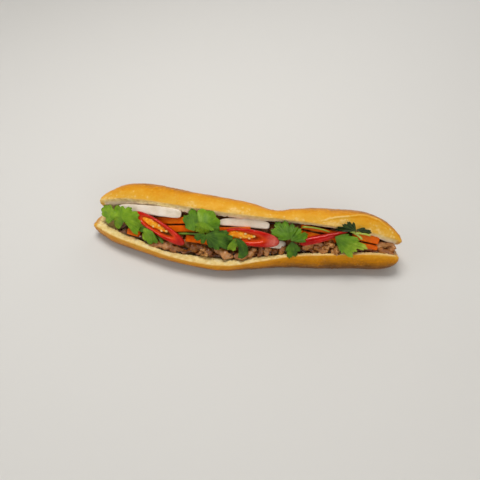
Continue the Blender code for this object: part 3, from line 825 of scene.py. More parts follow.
def makeDaikons():
    material = daikonMaterial()
    for number, (start, end, widths, thickness, bow, blunt) in enumerate(daikons["slices"], 1):
        vertices, faces, _, _ = cutStrip(start, end, widths, thickness, bow, blunt=blunt, seed=number * 31.0,
                                         **daikons["cut"])
        piece = newPiece(f"daikonSlice{number}", vertices, faces, material, carries=True)
        rooted(piece, "pickled_daikon", f"daikon_slice_{number}")
    print("daikon slices:", len(daikons["slices"]))


chillies = {
    # hollow is (shift, length, width) as shares of the ring; at the ring's far end, pale is how bleached
    # the flesh is, and deep is how much painted shade darkens the hollow
    "rings": (
        dict(node=1, start=(-105.5, 9.0, 0.6), end=(-52.5, -15.5, 0.6), width=13.2, thickness=4.2,
             hollow=(-0.02, 0.62, 0.56), pale=0.10, deep=0.95),
        dict(node=2, start=(-17, -0.8, 0.9), end=(36, -4.0, 0.9), width=15.5, thickness=4.2,
             hollow=(-0.11, 0.62, 0.54), pale=0.72, deep=0.4),
    ),
    "strip": dict(start=(54.0, -2.2, -0.2), end=(96.5, 13.2, -0.2), widths=(9.6, 3.8), thickness=2.6,
                  bow=-0.8, sag=0.6, blunt=3.0, fullness=3.0, stations=46, around=32, arch=0.42, lumps=0.3,
                  lumpSize=5.0, seed=4.0),
    "around": 96, "fullness": 2.2, "tongueSteps": 22, "seeds": 6, "seedLength": 2.5, "seedSteps": 9,
    # across the ring from its outside to the floor of its hollow: (share inwards, height, scale, skin)
    "profile": ((0.0, -0.50, 0.82, 1), (0.0, -0.42, 0.93, 1), (0.0, -0.24, 0.99, 1), (0.0, -0.02, 1.0, 1),
                (0.0, 0.16, 0.985, 1), (0.0, 0.28, 0.955, 0.9), (0.05, 0.38, 0.93, 0.4),
                (0.13, 0.45, 0.93, 0), (0.30, 0.50, 0.94, 0), (0.50, 0.50, 0.96, 0), (0.70, 0.46, 0.98, 0),
                (0.86, 0.38, 1.0, 0), (0.95, 0.28, 1.0, 0), (1.0, 0.12, 0.98, 0), (1.0, -0.06, 0.92, 0),
                (1.0, -0.20, 0.80, 0), (1.0, -0.26, 0.5, 0)),
}


def chilliMaterial():
    material, tree = startMaterial("redChilli", 0.3, 0.25, 0.10, 0.08, (0.003, 0.0006, 0.0003), 0.35,
                                   "#ff8a78")
    skinShare, inside, pale, deep = (attribute(tree, name) for name in ("skin", "inside", "pale", "deep"))
    pith, streaks = noiseAt(tree, 2.5, 3), noiseAt(tree, 5, 3, stretch=(0.4, 1, 1))
    flesh = ramp(noiseAt(tree, 6, 3), (0.3, "#ae0c04"), (0.55, "#c81a0a"), (0.8, "#dc3c1c"))
    flesh = blend(span(inside, 0.45, 0.95, 0, 0.55), flesh, "#e2560f")
    # the hollow's floor is painted dark: partly the pith's own colour, partly painted shade, with deep adding
    # more painted shade
    hollow = blend(deep, ramp(pith, (0.3, "#7a1f04"), (0.52, "#b83a06"), (0.78, "#e2620e")),
                   ramp(pith, (0.35, "#1e2403"), (0.7, "#6a3c06")))
    rind = ramp(streaks, (0.3, "#970805"), (0.6, "#bd0f08"), (0.8, "#d4281a"))
    colour = blend(skinShare, blend(span(inside, 1.0, 1.28), flesh, hollow), rind)
    bleached = times(pale, span(noiseAt(tree, 3, 3), 0.3, 0.6, 0.45, 0.95))
    sockets = {"Base Color": blend(bleached, colour, "#de907c"),
               "Roughness": span(inside, 0.95, 1.15, 0.3, 0.7),
               "Coat Weight": span(inside, 0.9, 1.1, 0.25, 0.0)}
    return finishMaterial(material, sockets, noiseAt(tree, 1.3, 3), 0.2, 0.6)


def membraneMaterial():
    stops = (0.25, "#e86408"), (0.5, "#f89a10"), (0.75, "#ffd048")
    return mottledMaterial("chilliMembrane", (2.0, 4), stops, (0.8, 2), 0.3, 0.7, roughness=0.35, coat=0.25,
                           subsurface=0.08, radius=(0.002, 0.001, 0.0004), specular=0.4, glossTint="#ffd28a")


def seedMaterial():
    stops = (0.3, "#e8b347"), (0.7, "#f8dd95")
    return mottledMaterial("chilliSeed", (1.2, 3), stops, (0.5, 2), 0.08, 0.5, roughness=0.3, coat=0.4,
                           subsurface=0.15, radius=(0.002, 0.0015, 0.001))


def chilliRing(spec):
    # the ring, its layers, and its hollow: floor, half its length and width, and the ring's axes
    start, end = over(*spec["start"]), over(*spec["end"])
    length, lengthways, sideways, outwards = layDown(start, end)
    centre, width, t = (start + end) / 2, spec["width"], spec["thickness"]
    count, fullness = chillies["around"], chillies["fullness"]
    turns = np.linspace(0, 2 * math.pi, count, endpoint=False)
    c, s = np.cos(turns), np.sin(turns)
    oval = np.column_stack([boxy(c, fullness) * length / 2, boxy(s, fullness) * width / 2])
    shift, long, wide = spec["hollow"]
    # the hollow is pointed at its far end, as a slanting cut leaves it
    inner = np.column_stack([c * length / 2 * long, s * width / 2 * wide * (1 - 0.28 * c)])
    middle = np.array([shift * length, 0])
    rings, layers = [], {"skin": [], "inside": [], "pale": [], "deep": []}
    for q, height, scale, rind in chillies["profile"]:
        flat = (1 - q) * oval * scale + q * (inner * scale + middle)
        ahead = flat[:, 0] / (length / 2)
        droop = -0.12 * t * np.abs(ahead) ** 3
        wave = np.array([fractal((p[0] + centre[0], p[1], height), 6.0, 2) for p in flat]) * 0.4
        rings.append(centre + np.outer(flat[:, 0], lengthways) + np.outer(flat[:, 1], sideways)
                     + np.outer(height * t + droop + wave, outwards))
        layers["skin"] += [rind] * count
        layers["inside"] += [q + (1 - scale if q == 1.0 else 0)] * count
        paling = spec["pale"] * np.clip((ahead - 0.50) / 0.3, 0, 1)
        layers["pale"] += list(paling * (0.45 + 0.55 * math.sin(q * math.pi)) * (height > 0))
        # deep is painted shade in the hollow, stronger towards the far end; the floor below shuts the hollow
        # and carries it
        layers["deep"] += list(spec["deep"] * np.clip((ahead + 0.05) / 0.3, 0, 1))
    floor = centre + lengthways * middle[0] - outwards * t * 0.26
    vertices, faces = skin(rings, centre - outwards * t * 0.5, floor)
    for key, ends in (("skin", [1, 0]), ("inside", [0, 1.5]), ("pale", [0, 0]), ("deep", [0, 0])):
        layers[key] += ends
    hollow = (floor, length * long / 2, width * wide / 2, lengthways, sideways, outwards)
    return vertices, faces, layers, hollow


def membraneTongue(seed, floor, reach, breadth, lengthways, sideways, outwards):
    # an uneven tongue along the near end of a hollow
    s = np.linspace(0, 1, chillies["tongueSteps"])
    path = (floor + np.outer((-0.98 + 1.56 * s) * reach, lengthways)
            + np.outer(breadth * (0.08 + 0.2 * s), sideways) + np.outer(0.6 + 0.4 * np.sin(s * 7), outwards))
    taper = np.sin(np.clip(s * 0.90 + 0.08, 0, 1) * math.pi) ** 0.6 * (1 - 0.45 * s)
    return slab(path, sideways, outwards, taper * breadth, taper * 1.4, 2.4, 18, lumps=0.7, lumpSize=2.2,
                seed=seed)[:2]


def seedsIn(floor, reach, breadth, lengthways, sideways, outwards):
    # flat drops in two uneven rows along the floor of a hollow
    steps, parts = np.linspace(0, 1, chillies["seedSteps"]), []
    bulge = np.sin(steps * math.pi * 0.92 + 0.13) ** 0.7
    for k in range(chillies["seeds"]):
        spot = (floor + lengthways * (-0.74 + 0.25 * k) * reach + outwards * (1.6 - 0.08 * k)
                + sideways * breadth * ((0.55 if k % 2 else -0.25) + 0.15 * math.sin(k * 2.3)))
        heading = 0.9 * math.sin(k * 3.1)
        a = lengthways * math.cos(heading) + sideways * math.sin(heading)
        b = np.cross(outwards, a)
        up = outwards + a * 0.35 * math.sin(k * 5) + b * 0.35 * math.cos(k * 3)
        path = spot + np.outer((steps - 0.5) * chillies["seedLength"], a)
        parts.append(slab(path, b, up, bulge, bulge * 0.35, 2.0, 12)[:2])
    return joined(parts)


def makeChillies():
    flesh, membrane, seedFinish = chilliMaterial(), membraneMaterial(), seedMaterial()
    for spec in chillies["rings"]:
        number = spec["node"]
        vertices, faces, layers, hollow = chilliRing(spec)
        ring = newPiece(f"chilliSlice{number}", vertices, faces, flesh, carries=True, **layers)
        rooted(ring, "red_chilli", f"chili_slice_{number}")
        tongue = membraneTongue(number * 9.0, *hollow)
        rooted(newPiece(f"chilliMembrane{number}", *tongue, membrane), "red_chilli")
        rooted(newPiece(f"chilliSeeds{number}", *seedsIn(*hollow), seedFinish), "red_chilli")
    vertices, faces, _, turned = cutStrip(**chillies["strip"])
    rind, nothing = np.clip(np.sin(turned * 2 * math.pi) * 4 + 0.6, 0, 1), np.zeros(len(vertices))
    strip = newPiece("chilliSlice3", vertices, faces, flesh, carries=True, skin=rind, inside=nothing + 0.6,
                     pale=nothing, deep=nothing)
    rooted(strip, "red_chilli", "chili_slice_3")
    print("chilli slices:", len(chillies["rings"]) + 1)


coriander = {
    "thickness": 0.35, "raysPerLobe": 26, "rows": 16, "settling": 10, "sag": 0.7, "mostSag": 9.0, "gap": 0.45,
    "teeth": 0.12, "cup": -0.6, "sightStart": 30.0, "sightLength": 60.0, "lowest": -40.0,
    # base is (along, across, rise); a lobe is (heading, length, half its spread in degrees);
    # sheen is the heading towards which a leaf pales, and by how much
    "leaves": (
        dict(node=1, base=(-124, 3, 0.6), lobes=((164, 20, 26), (205, 14, 24), (138, 15, 20)), tone=0.66,
             droop=3.6),
        dict(node=2, base=(-112, 5, 3.2), lobes=((128, 11, 18), (158, 17, 22), (188, 18.5, 20),
             (222, 19, 22)), tone=0.52, droop=3.4, cup=-1.6, teeth=0.05, sheen=(160, 0.15)),
        dict(node=3, base=(-117, 3, 5.4), lobes=((88, 10.5, 17), (56, 14, 18), (24, 18.5, 18), (-4, 22, 18),
             (-28, 22.5, 15)), tone=0.62, droop=2.9, bend=-14, teeth=0.15),
        dict(node=4, base=(-88, -9.5, -2.5), lobes=((146, 20, 34),), tone=0.46, droop=0.5, teeth=0.06,
             tucked=True),
        dict(node=5, base=(-83.5, -7, 4.8), lobes=((180, 11.5, 22), (214, 14.5, 24), (250, 13.5, 22),
             (286, 11.5, 20)), tone=0.60, droop=5.0, cup=-2.6, teeth=0.06, sheen=(150, 0.2)),
        dict(node=6, base=(-43, -2, 3.6), lobes=((158, 11, 18), (134, 18.5, 18), (106, 21.5, 16),
             (82, 19.5, 14)), tone=0.42, droop=1.9, teeth=0.13),
        dict(node=7, base=(-37, 2, 6.2), lobes=((94, 17.5, 26), (60, 18.5, 24), (26, 18, 24), (0, 17, 16)),
             tone=0.44, droop=3.4, cup=-1.4, teeth=0.05, sheen=(110, 0.25)),
        dict(node=0, name="B", base=(-35, 7.5, 6.9), lobes=((206, 9, 17), (234, 12.5, 16), (262, 14, 16),
             (294, 12.5, 16), (326, 12, 15)), tone=0.52, droop=2.6, teeth=0.18, sheen=(262, 0.3)),
        dict(node=8, base=(-32, -4, 4.4), lobes=((202, 12, 24), (249, 9.5, 20), (-62, 13.5, 15),
             (-44, 18.5, 14), (-22, 26, 14), (-6, 27, 13), (10, 21.5, 12), (26, 12, 12)), tone=0.28,
             droop=1.2, teeth=0.13),
        dict(node=9, base=(-5, -4, 5.2), lobes=((-72, 9, 14), (-94, 13, 15), (-116, 13.5, 15)), tone=0.34,
             droop=2.9, sheen=(-110, 0.5), teeth=0.15),
        dict(node=10, base=(-5, -4, 5.0), lobes=((-22, 20.5, 26),), tone=0.28, droop=2.2, bend=-42,
             teeth=0.04, cup=-1.2),
        dict(node=11, base=(45, 0, 4.4), lobes=((184, 11, 14), (160, 19.5, 15), (136, 21, 14), (112, 18, 14),
             (86, 15, 14), (64, 13.5, 11)), tone=0.42, droop=2.4, teeth=0.17),
        dict(node=12, base=(46, -1, 6.0), lobes=((88, 8.5, 16), (56, 14.5, 16), (26, 17, 16), (4, 14, 13)),
             tone=0.28, droop=2.9, teeth=0.13, sheen=(60, 0.25)),
        dict(node=13, base=(47, -1.5, 4.2), lobes=((-46, 12, 20), (-70, 15, 15), (-92, 16.5, 14),
             (-113, 11, 14)), tone=0.30, droop=2.4, teeth=0.15),
        dict(node=14, base=(103, 14, 4.8), lobes=((180, 18, 13), (160, 13.5, 13), (138, 11.5, 13),
             (112, 8.5, 14)), tone=-0.04, droop=1.2, teeth=0.17),
        dict(node=0, name="E", base=(103, 15, 3.0), lobes=((-4, 15, 14), (18, 9, 14)), tone=-0.06, droop=1.4,
             teeth=0.15),
        dict(node=15, base=(85, 7, 5.9), lobes=((14, 13, 13), (-3, 23, 11), (-14, 33, 8), (-27, 25.5, 10),
             (-42, 26, 10), (-57, 17.5, 11)), tone=0.30, droop=2.2, teeth=0.12, sheen=(-25, 0.75)),
    ),
}


def leafMaterial():
    material, tree = startMaterial("corianderLeaf", 0.45, 0.06, 0.25, specular=0.24)
    vein = attribute(tree, "vein")
    tone = plus(attribute(tree, "tone"), offset(noiseAt(tree, 7, 3), 0.7))
    colour = ramp(tone, (0.0, "#142a02"), (0.25, "#355c02"), (0.5, "#5c8806"), (0.75, "#86aa1a"),
                  (1.0, "#b2c63e"))
    colour = layered(colour, (vein, 0.12, "#a3ba58"))
    relief = calc("MULTIPLY_ADD", vein, -0.9, span(cellsAt(tree, 1.1, "DISTANCE_TO_EDGE"), 0.0, 0.2))
    return finishMaterial(material, {"Base Color": colour}, relief, 0.10, 0.45)


def leafOutline(turns, headings, sizes, spreads, teeth):
    # along each ray, how far the leaf reaches and how high its pleats stand
    reach, pleat = np.zeros(len(turns)), np.zeros(len(turns))
    for heading, size, spread in zip(headings, sizes, spreads):
        away = (turns - heading) / spread
        bumps = np.abs(np.sin((away * 1.5 + 0.5) * math.pi)) ** 0.55
        petal = size * (1 - 0.30 * np.abs(away) ** 2.6) * (1 - 0.8 * teeth * (1 - bumps))
        petal = np.where(np.abs(away) < 1.15, petal, 0.45 * size * np.exp(-(np.abs(away) - 1.15)))
        pleat = np.where(petal > reach, np.cos(np.clip(away, -1, 1) * math.pi), pleat)
        reach = np.maximum(reach, petal)
    sides = np.minimum(turns - turns[0], turns[-1] - turns) / math.radians(9)
    return reach * (0.22 + 0.78 * np.clip(sides, 0, 1) ** 0.5), pleat


def leafVeins(r, turns, headings, sizes, spreads):
    # 1 along the middle of each lobe, fainter along two branches of it, and 0 away from them
    vein = np.zeros_like(r)
    for heading, size, spread in zip(headings, sizes, spreads):
        for branch, begin, strength in ((0.0, 0.0, 1), (-0.62, 0.45, 0.6), (0.62, 0.45, 0.6)):
            root = np.array([math.cos(heading), math.sin(heading)]) * begin * size
            lean = heading + branch * spread
            way = np.array([math.cos(lean), math.sin(lean)]) * size * 0.93 - root
            u, v = r * np.cos(turns) - root[0], r * np.sin(turns) - root[1]
            share = np.clip((u * way[0] + v * way[1]) / (way @ way), 0, 1)
            distance = np.hypot(u - share * way[0], v - share * way[1])
            vein = np.maximum(vein, np.exp(-((distance / (0.36 - 0.2 * share)) ** 2)) * strength)
    return vein


def restingRise(x, across):
    # the rise of the highest thing met from above at each place
    starts = over(x, across, coriander["sightStart"])
    rises = np.full(x.shape, coriander["lowest"])
    for index in np.ndindex(x.shape):
        for carrier in supports:
            hit = carrier.ray_cast(Vector(starts[index]), Vector(-outOfMouth), coriander["sightLength"])
            if hit[0] is not None:
                rises[index] = max(rises[index], coriander["sightStart"] - hit[3])
    return rises


def easedGrid(lift):
    eased = lift.copy()
    eased[1:-1, 1:-1] = (lift[:-2, 1:-1] + lift[2:, 1:-1] + lift[1:-1, :-2] + lift[1:-1, 2:]
                         + 2 * lift[1:-1, 1:-1]) / 6
    eased[-1, 1:-1] = (lift[-1, :-2] + lift[-1, 2:] + lift[-2, 1:-1] + 2 * lift[-1, 1:-1]) / 5
    return eased


def settled(lift, rest, far):
    # the blade sunk towards an evened bed of what lies below it, more at its edge, and never into that
    bed = np.maximum(rest, lift - coriander["mostSag"])
    for _ in range(coriander["settling"]):
        bed = easedGrid(bed)
    lift = np.maximum(lift - coriander["sag"] * far**1.2 * np.maximum(lift - bed, 0), rest)
    for _ in range(coriander["settling"]):
        lift = np.maximum(easedGrid(lift), rest)
    return lift


def leafBlade(spec, seed):
    # a fan of toothed lobes, star shaped about the point where the stalk joins
    headings, sizes, spreads = np.array(spec["lobes"], float).T
    headings, spreads = np.unwrap(np.radians(headings)), np.radians(spreads)
    low, high = (headings - spreads).min(), (headings + spreads).max()
    turns = np.linspace(low, high, coriander["raysPerLobe"] * len(sizes) + 6)
    length = float(sizes.max())
    reach, pleat = leafOutline(turns, headings, sizes, spreads, spec.get("teeth", coriander["teeth"]))
    r = (np.linspace(0.03, 1, coriander["rows"]) ** 0.8)[:, None] * reach
    vein = leafVeins(r, turns, headings, sizes, spreads)
    far = r / length
    bent = turns + math.radians(spec.get("bend", 0.0)) * far
    u, v = r * np.cos(bent), r * np.sin(bent)
    sideways = r * np.sin(turns - (low + high) / 2) / length
    lift = (0.4 * far - spec["droop"] * far**2 + spec.get("cup", coriander["cup"]) * sideways**2
            + 0.16 * pleat * far**1.5)
    lift = (lift + 0.6 * far**3 * np.sin(turns * 7 + seed) + 0.15 * far**3 * np.sin(turns * 17 + seed * 2)
            - 0.10 * vein)
    x, across, rise = spec["base"]
    wave = np.array([fractal((x + a + seed, across + b, 0), 9.0, 2) for a, b in zip(u.ravel(), v.ravel())])
    lift = rise + lift + 2.2 * wave.reshape(u.shape) * far
    if not spec.get("tucked"):
        lift = settled(lift, restingRise(x + u, across + v) + coriander["gap"], far)
    heading, amount = spec.get("sheen", (0, 0.0))
    ahead = u * math.cos(math.radians(heading)) + v * math.sin(math.radians(heading))
    top = over(x + u, across + v, lift)
    under = over(x + u, across + v, lift - coriander["thickness"] * (1 - 0.6 * far**4))
    base = over(x, across, max(rise, float(lift[0].mean())))
    return top, under, base, vein, spec["tone"] + amount * ahead / length


def bladeFaces(rows, rays):
    # two layers of a fan joined all round, each with a point of its own where the stalk joins
    count = rows * rays

    def wall(line):
        return [(a, b, count + b, count + a) for a, b in zip(line, line[1:])]

    faces = gridFaces(rows, rays)
    faces += [tuple(count + i for i in reversed(face)) for face in faces]
    faces += wall(range(count - rays, count))
    faces += [(2 * count, k, k + 1) for k in range(rays - 1)]
    faces += [(2 * count + 1, count + k + 1, count + k) for k in range(rays - 1)]
    for edge in (0, rays - 1):
        faces += wall(range(edge, count, rays)) + [(2 * count, edge, count + edge, 2 * count + 1)]
    return faces


def makeCoriander():
    material = leafMaterial()
    for index, spec in enumerate(coriander["leaves"]):
        top, under, base, vein, tone = leafBlade(spec, index * 1.7 + 1)
        root = [base, base - outOfMouth * coriander["thickness"]]
        vertices = np.vstack([top.reshape(-1, 3), under.reshape(-1, 3), root])
        veins = np.concatenate([vein.ravel(), vein.ravel(), [1, 1]])
        tones = np.concatenate([tone.ravel(), tone.ravel() + 0.12, [spec["tone"]] * 2])
        number = spec["node"]
        piece = newPiece("corianderLeaf" + spec.get("name", str(number)), vertices,
                         bladeFaces(*top.shape[:2]), material, carries=True, vein=veins, tone=tones)
        rooted(piece, "coriander_leaf", *([f"coriander_leaf_{number}"] if number else []))
    print("coriander leaves:", len(coriander["leaves"]))


stalks = {
    "around": 16, "steps": 26, "fullness": 2.3, "lumps": 0.14, "lumpSize": 3.0,
    "stems": (  # the stalk it belongs to, start, end, half width, half thickness, bow
        (1, (-60, -6.5, -3.6), (-34, -4.2, 0.2), 1.0, 0.9, 0.4),
        (2, (-88, -4.5, -2.0), (-73.5, -17.0, -1.8), 2.1, 1.3, 0.8),
        (3, (55, 12.4, -2.6), (81, 10.4, -2.4), 0.85, 0.7, 1.4),
        (4, (96, 14.6, 1.8), (110.5, 7.0, 1.2), 1.35, 0.7, 1.2),
        (4, (103, 12.2, 1.9), (117.5, 11.2, 1.2), 1.1, 0.6, 0.8),
    ),
    "tones": {1: 0.35, 2: 0.15, 3: 0.6, 4: 0.85},
}


def stalkMaterial():
    material, tree = startMaterial("corianderStalk", 0.3, 0.2, 0.15, 0.1, (0.001, 0.002, 0.0005))
    tone = plus(attribute(tree, "tone"), offset(noiseAt(tree, 5, 3), 0.4))
    colour = ramp(tone, (0.0, "#3d6410"), (0.4, "#6f8f1c"), (0.7, "#9db332"), (1.0, "#c3cf55"))
    grain = noiseAt(tree, 0.7, 2, stretch=(0.3, 1, 1))
    return finishMaterial(material, {"Base Color": colour}, grain, 0.1, 0.5)


def stem(number, start, end, wide, thick, bow):
    start, end = over(*start), over(*end)
    length, lengthways, sideways, outwards = layDown(start, end)
    s = np.linspace(0, 1, stalks["steps"])
    path = start + np.outer(s * length, lengthways) + np.outer(bow * 4 * s * (1 - s), sideways)
    path = path + np.outer(0.25 * np.sin(s * 9), outwards)
    taper = (1 - 0.25 * s) * (1 - 0.5 * np.abs(2 * s - 1) ** 16)
    return slab(path, sideways, outwards, wide * taper, thick * taper, stalks["fullness"], stalks["around"],
                lumps=stalks["lumps"], lumpSize=stalks["lumpSize"], seed=number * 5.0)[:2]


def makeStalks():
    material = stalkMaterial()
    for number, tone in stalks["tones"].items():
        vertices, faces = joined([stem(*spec) for spec in stalks["stems"] if spec[0] == number])
        tones = np.full(len(vertices), tone)
        piece = newPiece(f"corianderStalk{number}", vertices, faces, material, tone=tones)
        rooted(piece, "coriander_stalk", f"coriander_stem_{number}")
    print("coriander stalks:", len(stalks["tones"]))


pork = {
    "coreInset": 2.2, "leastInset": 0.6, "dent": 1.1, "dentSize": 5.0, "stations": 24, "around": 20,
    "named": (  # centre (along, across, rise), heading, length, width, thickness, roll, curl, tone
        ((-76, -19.8, -4.4), 6, 24, 7.5, 3.0, 8, 0.8, 0.34),
        ((-63, -20.6, -4.6), -6, 20, 6.5, 3.0, 16, 0.8, 0.44),
        ((-66, -16.5, -5.4), 10, 22, 7.0, 3.4, 0, 0.8, 0.62),
        ((-40, -18.0, -4.0), 12, 13, 9.5, 5.0, 18, 1.6, 0.58),
        ((-31, -20.0, -4.4), -20, 12, 8.5, 4.4, 10, 1.2, 0.62),
        ((-15, -20.5, -4.2), -10, 20, 8.5, 3.2, 10, 1.0, 0.28),
        ((3, -20.6, -4.4), 4, 17, 6.5, 3.0, 0, 0.8, 0.36),
        ((11.5, -16.5, -4.7), 62, 11, 7.0, 4.0, 20, 0.5, 0.30),
        ((19, -14.8, -4.7), 82, 11, 6.0, 4.0, -20, 0.5, 0.58),
        ((25.5, -13.4, -4.7), 74, 10, 6.5, 4.0, 20, 0.5, 0.26),
        ((32.5, -12.0, -4.9), 64, 10, 5.5, 4.0, -20, 0.5, 0.64),
        ((39.5, -11.0, -4.9), 50, 10, 6.0, 4.0, 20, 0.5, 0.40),
        ((67, -4.5, -5.6), 22, 20, 7.5, 4.0, 10, 1.0, 0.30),
        ((74, -6.2, -4.8), -30, 13, 7.0, 4.0, 20, 1.0, 0.42),
        ((82, -1.5, -3.8), 60, 11, 8.0, 5.0, 20, 1.4, 0.50),
        ((89, -5.5, -4.4), 20, 10, 6.5, 4.6, -10, 1.2, 0.45),
        ((134, 3.4, -4.2), 4, 19, 7.0, 2.8, 24, 0.4, 0.26),
        ((135, -1.6, -4.8), -10, 17, 7.0, 3.0, 0, 0.4, 0.46),
        ((140, 1.0, -5.0), 70, 9, 8.0, 3.0, 0, 0.4, 0.36),
    ),
    # the others' ranges: heading, length, width, thickness, roll, curl, tone
    "seed": 11, "rowStep": 8.5, "rowCount": 5, "rimStep": 11.0, "seeds": (0, 40),
    "loose": ((-60, 60), (15, 24), (8, 12.5), (1.7, 2.6), (-25, 25), (0.8, 2.0), (0.10, 0.66)),
    "scraps": ((-16, 16), (14, 20), (5, 7), (2.4, 3.4), (-50, -20), 0.8, (0.45, 0.85)),
    "crispSpots": ((-34, -23.2, 4.5), (83, -2.0, 6.5), (88, -6.0, 5.0)),  # (along, across, spread)
    "crispDepth": 7.0,
    "crisps": {"Spacing": 1.5 * mm, "Density": 300000.0, "Least Size": 0.7 * mm, "Most Size": 2.2 * mm,
               "Flatness": 0.75, "Raggedness": 1.8 * mm, "Seed": 4},
}


def porkMaterial():
    material, tree = startMaterial("grilledPork", 0.36, 0.3, 0.16, 0.06, (0.003, 0.0012, 0.0006))
    tone, along, turned = (attribute(tree, name) for name in ("tone", "along", "around"))
    grain = combine(tree, X=times(along, 3.0), Y=times(turned, 26.0), Z=times(tone, 31.0))
    fibre = node(tree, "ShaderNodeTexNoise", {"Vector": grain, "Scale": 1.0, "Detail": 4.0}).outputs["Fac"]
    cloud = noiseAt(tree, 4.5, 4)
    colour = ramp(plus(tone, offset(cloud, 1.0), offset(fibre, 0.26)), (0.0, "#dcab7e"), (0.2, "#cb9058"),
                  (0.4, "#b07032"), (0.6, "#8f5018"), (0.8, "#66330c"), (1.0, "#351704"))
    char = times(span(noiseAt(tree, 2.6, 4), 0.58, 0.70), span(tone, 0.2, 0.8, 0.25, 0.9))
    fat = span(noiseAt(tree, 3.4, 3), 0.62, 0.70)
    colour = layered(colour, (char, 1.0, "#2a1206"), (fat, 0.4, "#e0a95e"))
    sockets = {"Base Color": colour, "Roughness": span(cloud, 0.3, 0.7, 0.22, 0.5)}
    return finishMaterial(material, sockets, plus(times(fibre, 0.5), noiseAt(tree, 1.6, 4)), 0.4, 0.7)


def crispMaterial():
    stops = (0.28, "#8a4a12"), (0.5, "#bf8138"), (0.72, "#e0b276")
    return mottledMaterial("crispFat", (2.0, 3), stops, (0.6, 3), 0.15, 0.7, roughness=0.4, coat=0.25,
                           coatRoughness=0.2, subsurface=0.1)


def porkSlice(centre, heading, length, width, thickness, rolled, curl, seed):
    # a flat scrap of meat that curls, drifts and twists along its length, with frilled edges
    x, across, rise = centre
    reach, turn = length / 2, math.radians(heading)
    start = over(x - reach * math.cos(turn), across - reach * math.sin(turn), rise)
    end = over(x + reach * math.cos(turn), across + reach * math.sin(turn), rise)
    _, lengthways, sideways, outwards = layDown(start, end, rolled)
    s = 0.5 - 0.5 * np.cos(np.linspace(0.03, 0.97, pork["stations"]) * math.pi)
    wave = curl * np.sin(s * math.pi * 2.2 + seed) + 0.4 * np.sin(s * math.pi * 5 + seed * 3)
    drift = (0.9 * np.sin(s * 4 + seed * 2) + 0.3 * np.sin(s * 11 + seed)) * min(length / 18, 1.0)
    path = start + np.outer(s * length, lengthways) + np.outer(wave, outwards) + np.outer(drift, sideways)
    blunt = np.where(s < 0.5, 2.4 + 1.6 * math.sin(seed * 3), 2.4 + 1.6 * math.sin(seed * 5))
    closing = (1 - np.abs(2 * s - 1) ** blunt) ** (1 / 2.2)
    wobble = 1 + 0.12 * np.sin(s * 7 + seed) + 0.08 * np.sin(s * 17 + seed * 5)
    half = np.maximum(width / 2 * closing * wobble, 0.2)
    heights = np.maximum(thickness / 2 * closing**0.6 * (1 + 0.12 * np.sin(s * 12 + seed * 2)), 0.2)
    twist = 0.45 * np.sin(s * 3 + seed)
    sides = np.outer(np.cos(twist), sideways) + np.outer(np.sin(twist), outwards)
    ups = np.outer(np.cos(twist), outwards) - np.outer(np.sin(twist), sideways)
    return slab(path, sides, ups, half, heights, 2.5, pork["around"], arch=0.2 * math.sin(seed * 7),
                frill=min(0.13 * width, 1.3), lumps=0.3, lumpSize=3.0, grain=0.30, seed=seed * 13.0)


def makeCore(solid, material):
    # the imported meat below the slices: the heap's own shape, drawn in and dented
    core = bmesh.new()
    core.from_mesh(solid)
    bmesh.ops.remove_doubles(core, verts=core.verts, dist=1e-6)
    bmesh.ops.subdivide_edges(core, edges=core.edges, cuts=1, use_grid_fill=True)
    bmesh.ops.triangulate(core, faces=core.faces)
    core.normal_update()
    for vertex in core.verts:
        dent = pork["coreInset"] + pork["dent"] * fractal(np.array(vertex.co) / mm, pork["dentSize"], 3)
        vertex.co -= vertex.normal * max(dent, pork["leastInset"]) * mm
    mesh = bpy.data.meshes.new("porkCore")
    core.to_mesh(mesh)
    core.free()
    count = len(mesh.vertices)
    setValues(mesh, tone=np.full(count, 0.8), along=np.full(count, 0.3), around=np.full(count, 0.5))
    mesh.materials.append(material)
    mesh.shade_smooth()
    rooted(place("porkCore", mesh), "grilled_pork", "pork_filling")


def drawn(chance, ranges):
    # a draw from each range in turn; a plain number is taken as it is
    return [chance.uniform(*limits) if isinstance(limits, tuple) else limits for limits in ranges]


def heapEdges(x):
    # where the heap's bed begins and ends across the mouth
    edges = [float(inMouth(railAt(roll[name], x))[0][0]) for name in ("rim", "lip")]
    return edges[0] + valueAt(roll["rimFace"], x), edges[1] - 4


def chosenSlices(heap):
    # the listed slices, rows of loose ones over the heap, and dark glazed scraps along the rim
    chance = np.random.default_rng(pork["seed"])
    slices = [(*values, 3.0 + i * 1.37) for i, values in enumerate(pork["named"])]
    for x in np.arange(-120, 138, pork["rowStep"]):
        near, far = heapEdges(x)
        for row in range(pork["rowCount"]):
            share = (row + 0.5 + chance.uniform(-0.3, 0.3)) / pork["rowCount"]
            across = near + 1 + (far - near - 2) * share
            along = x + chance.uniform(-4, 4)
            hit = heap.ray_cast(Vector(over(along, across, 30)), Vector(-outOfMouth))
            values = drawn(chance, pork["loose"])
            if hit[0] is not None and (x <= 118 or share <= 0.6):
                rise = 30 - hit[3] + chance.uniform(-1.6, -0.4)
                slices.append(((along, across, rise), *values, chance.uniform(*pork["seeds"])))
    for x in np.arange(-112, 134, pork["rimStep"]):
        along, across = x + chance.uniform(-2, 2), heapEdges(x)[0] + chance.uniform(-0.4, 1.2)
        centre = (along, across, chance.uniform(-8.2, -6.6))
        slices.append((centre, *drawn(chance, pork["scraps"]), chance.uniform(*pork["seeds"])))
    return slices


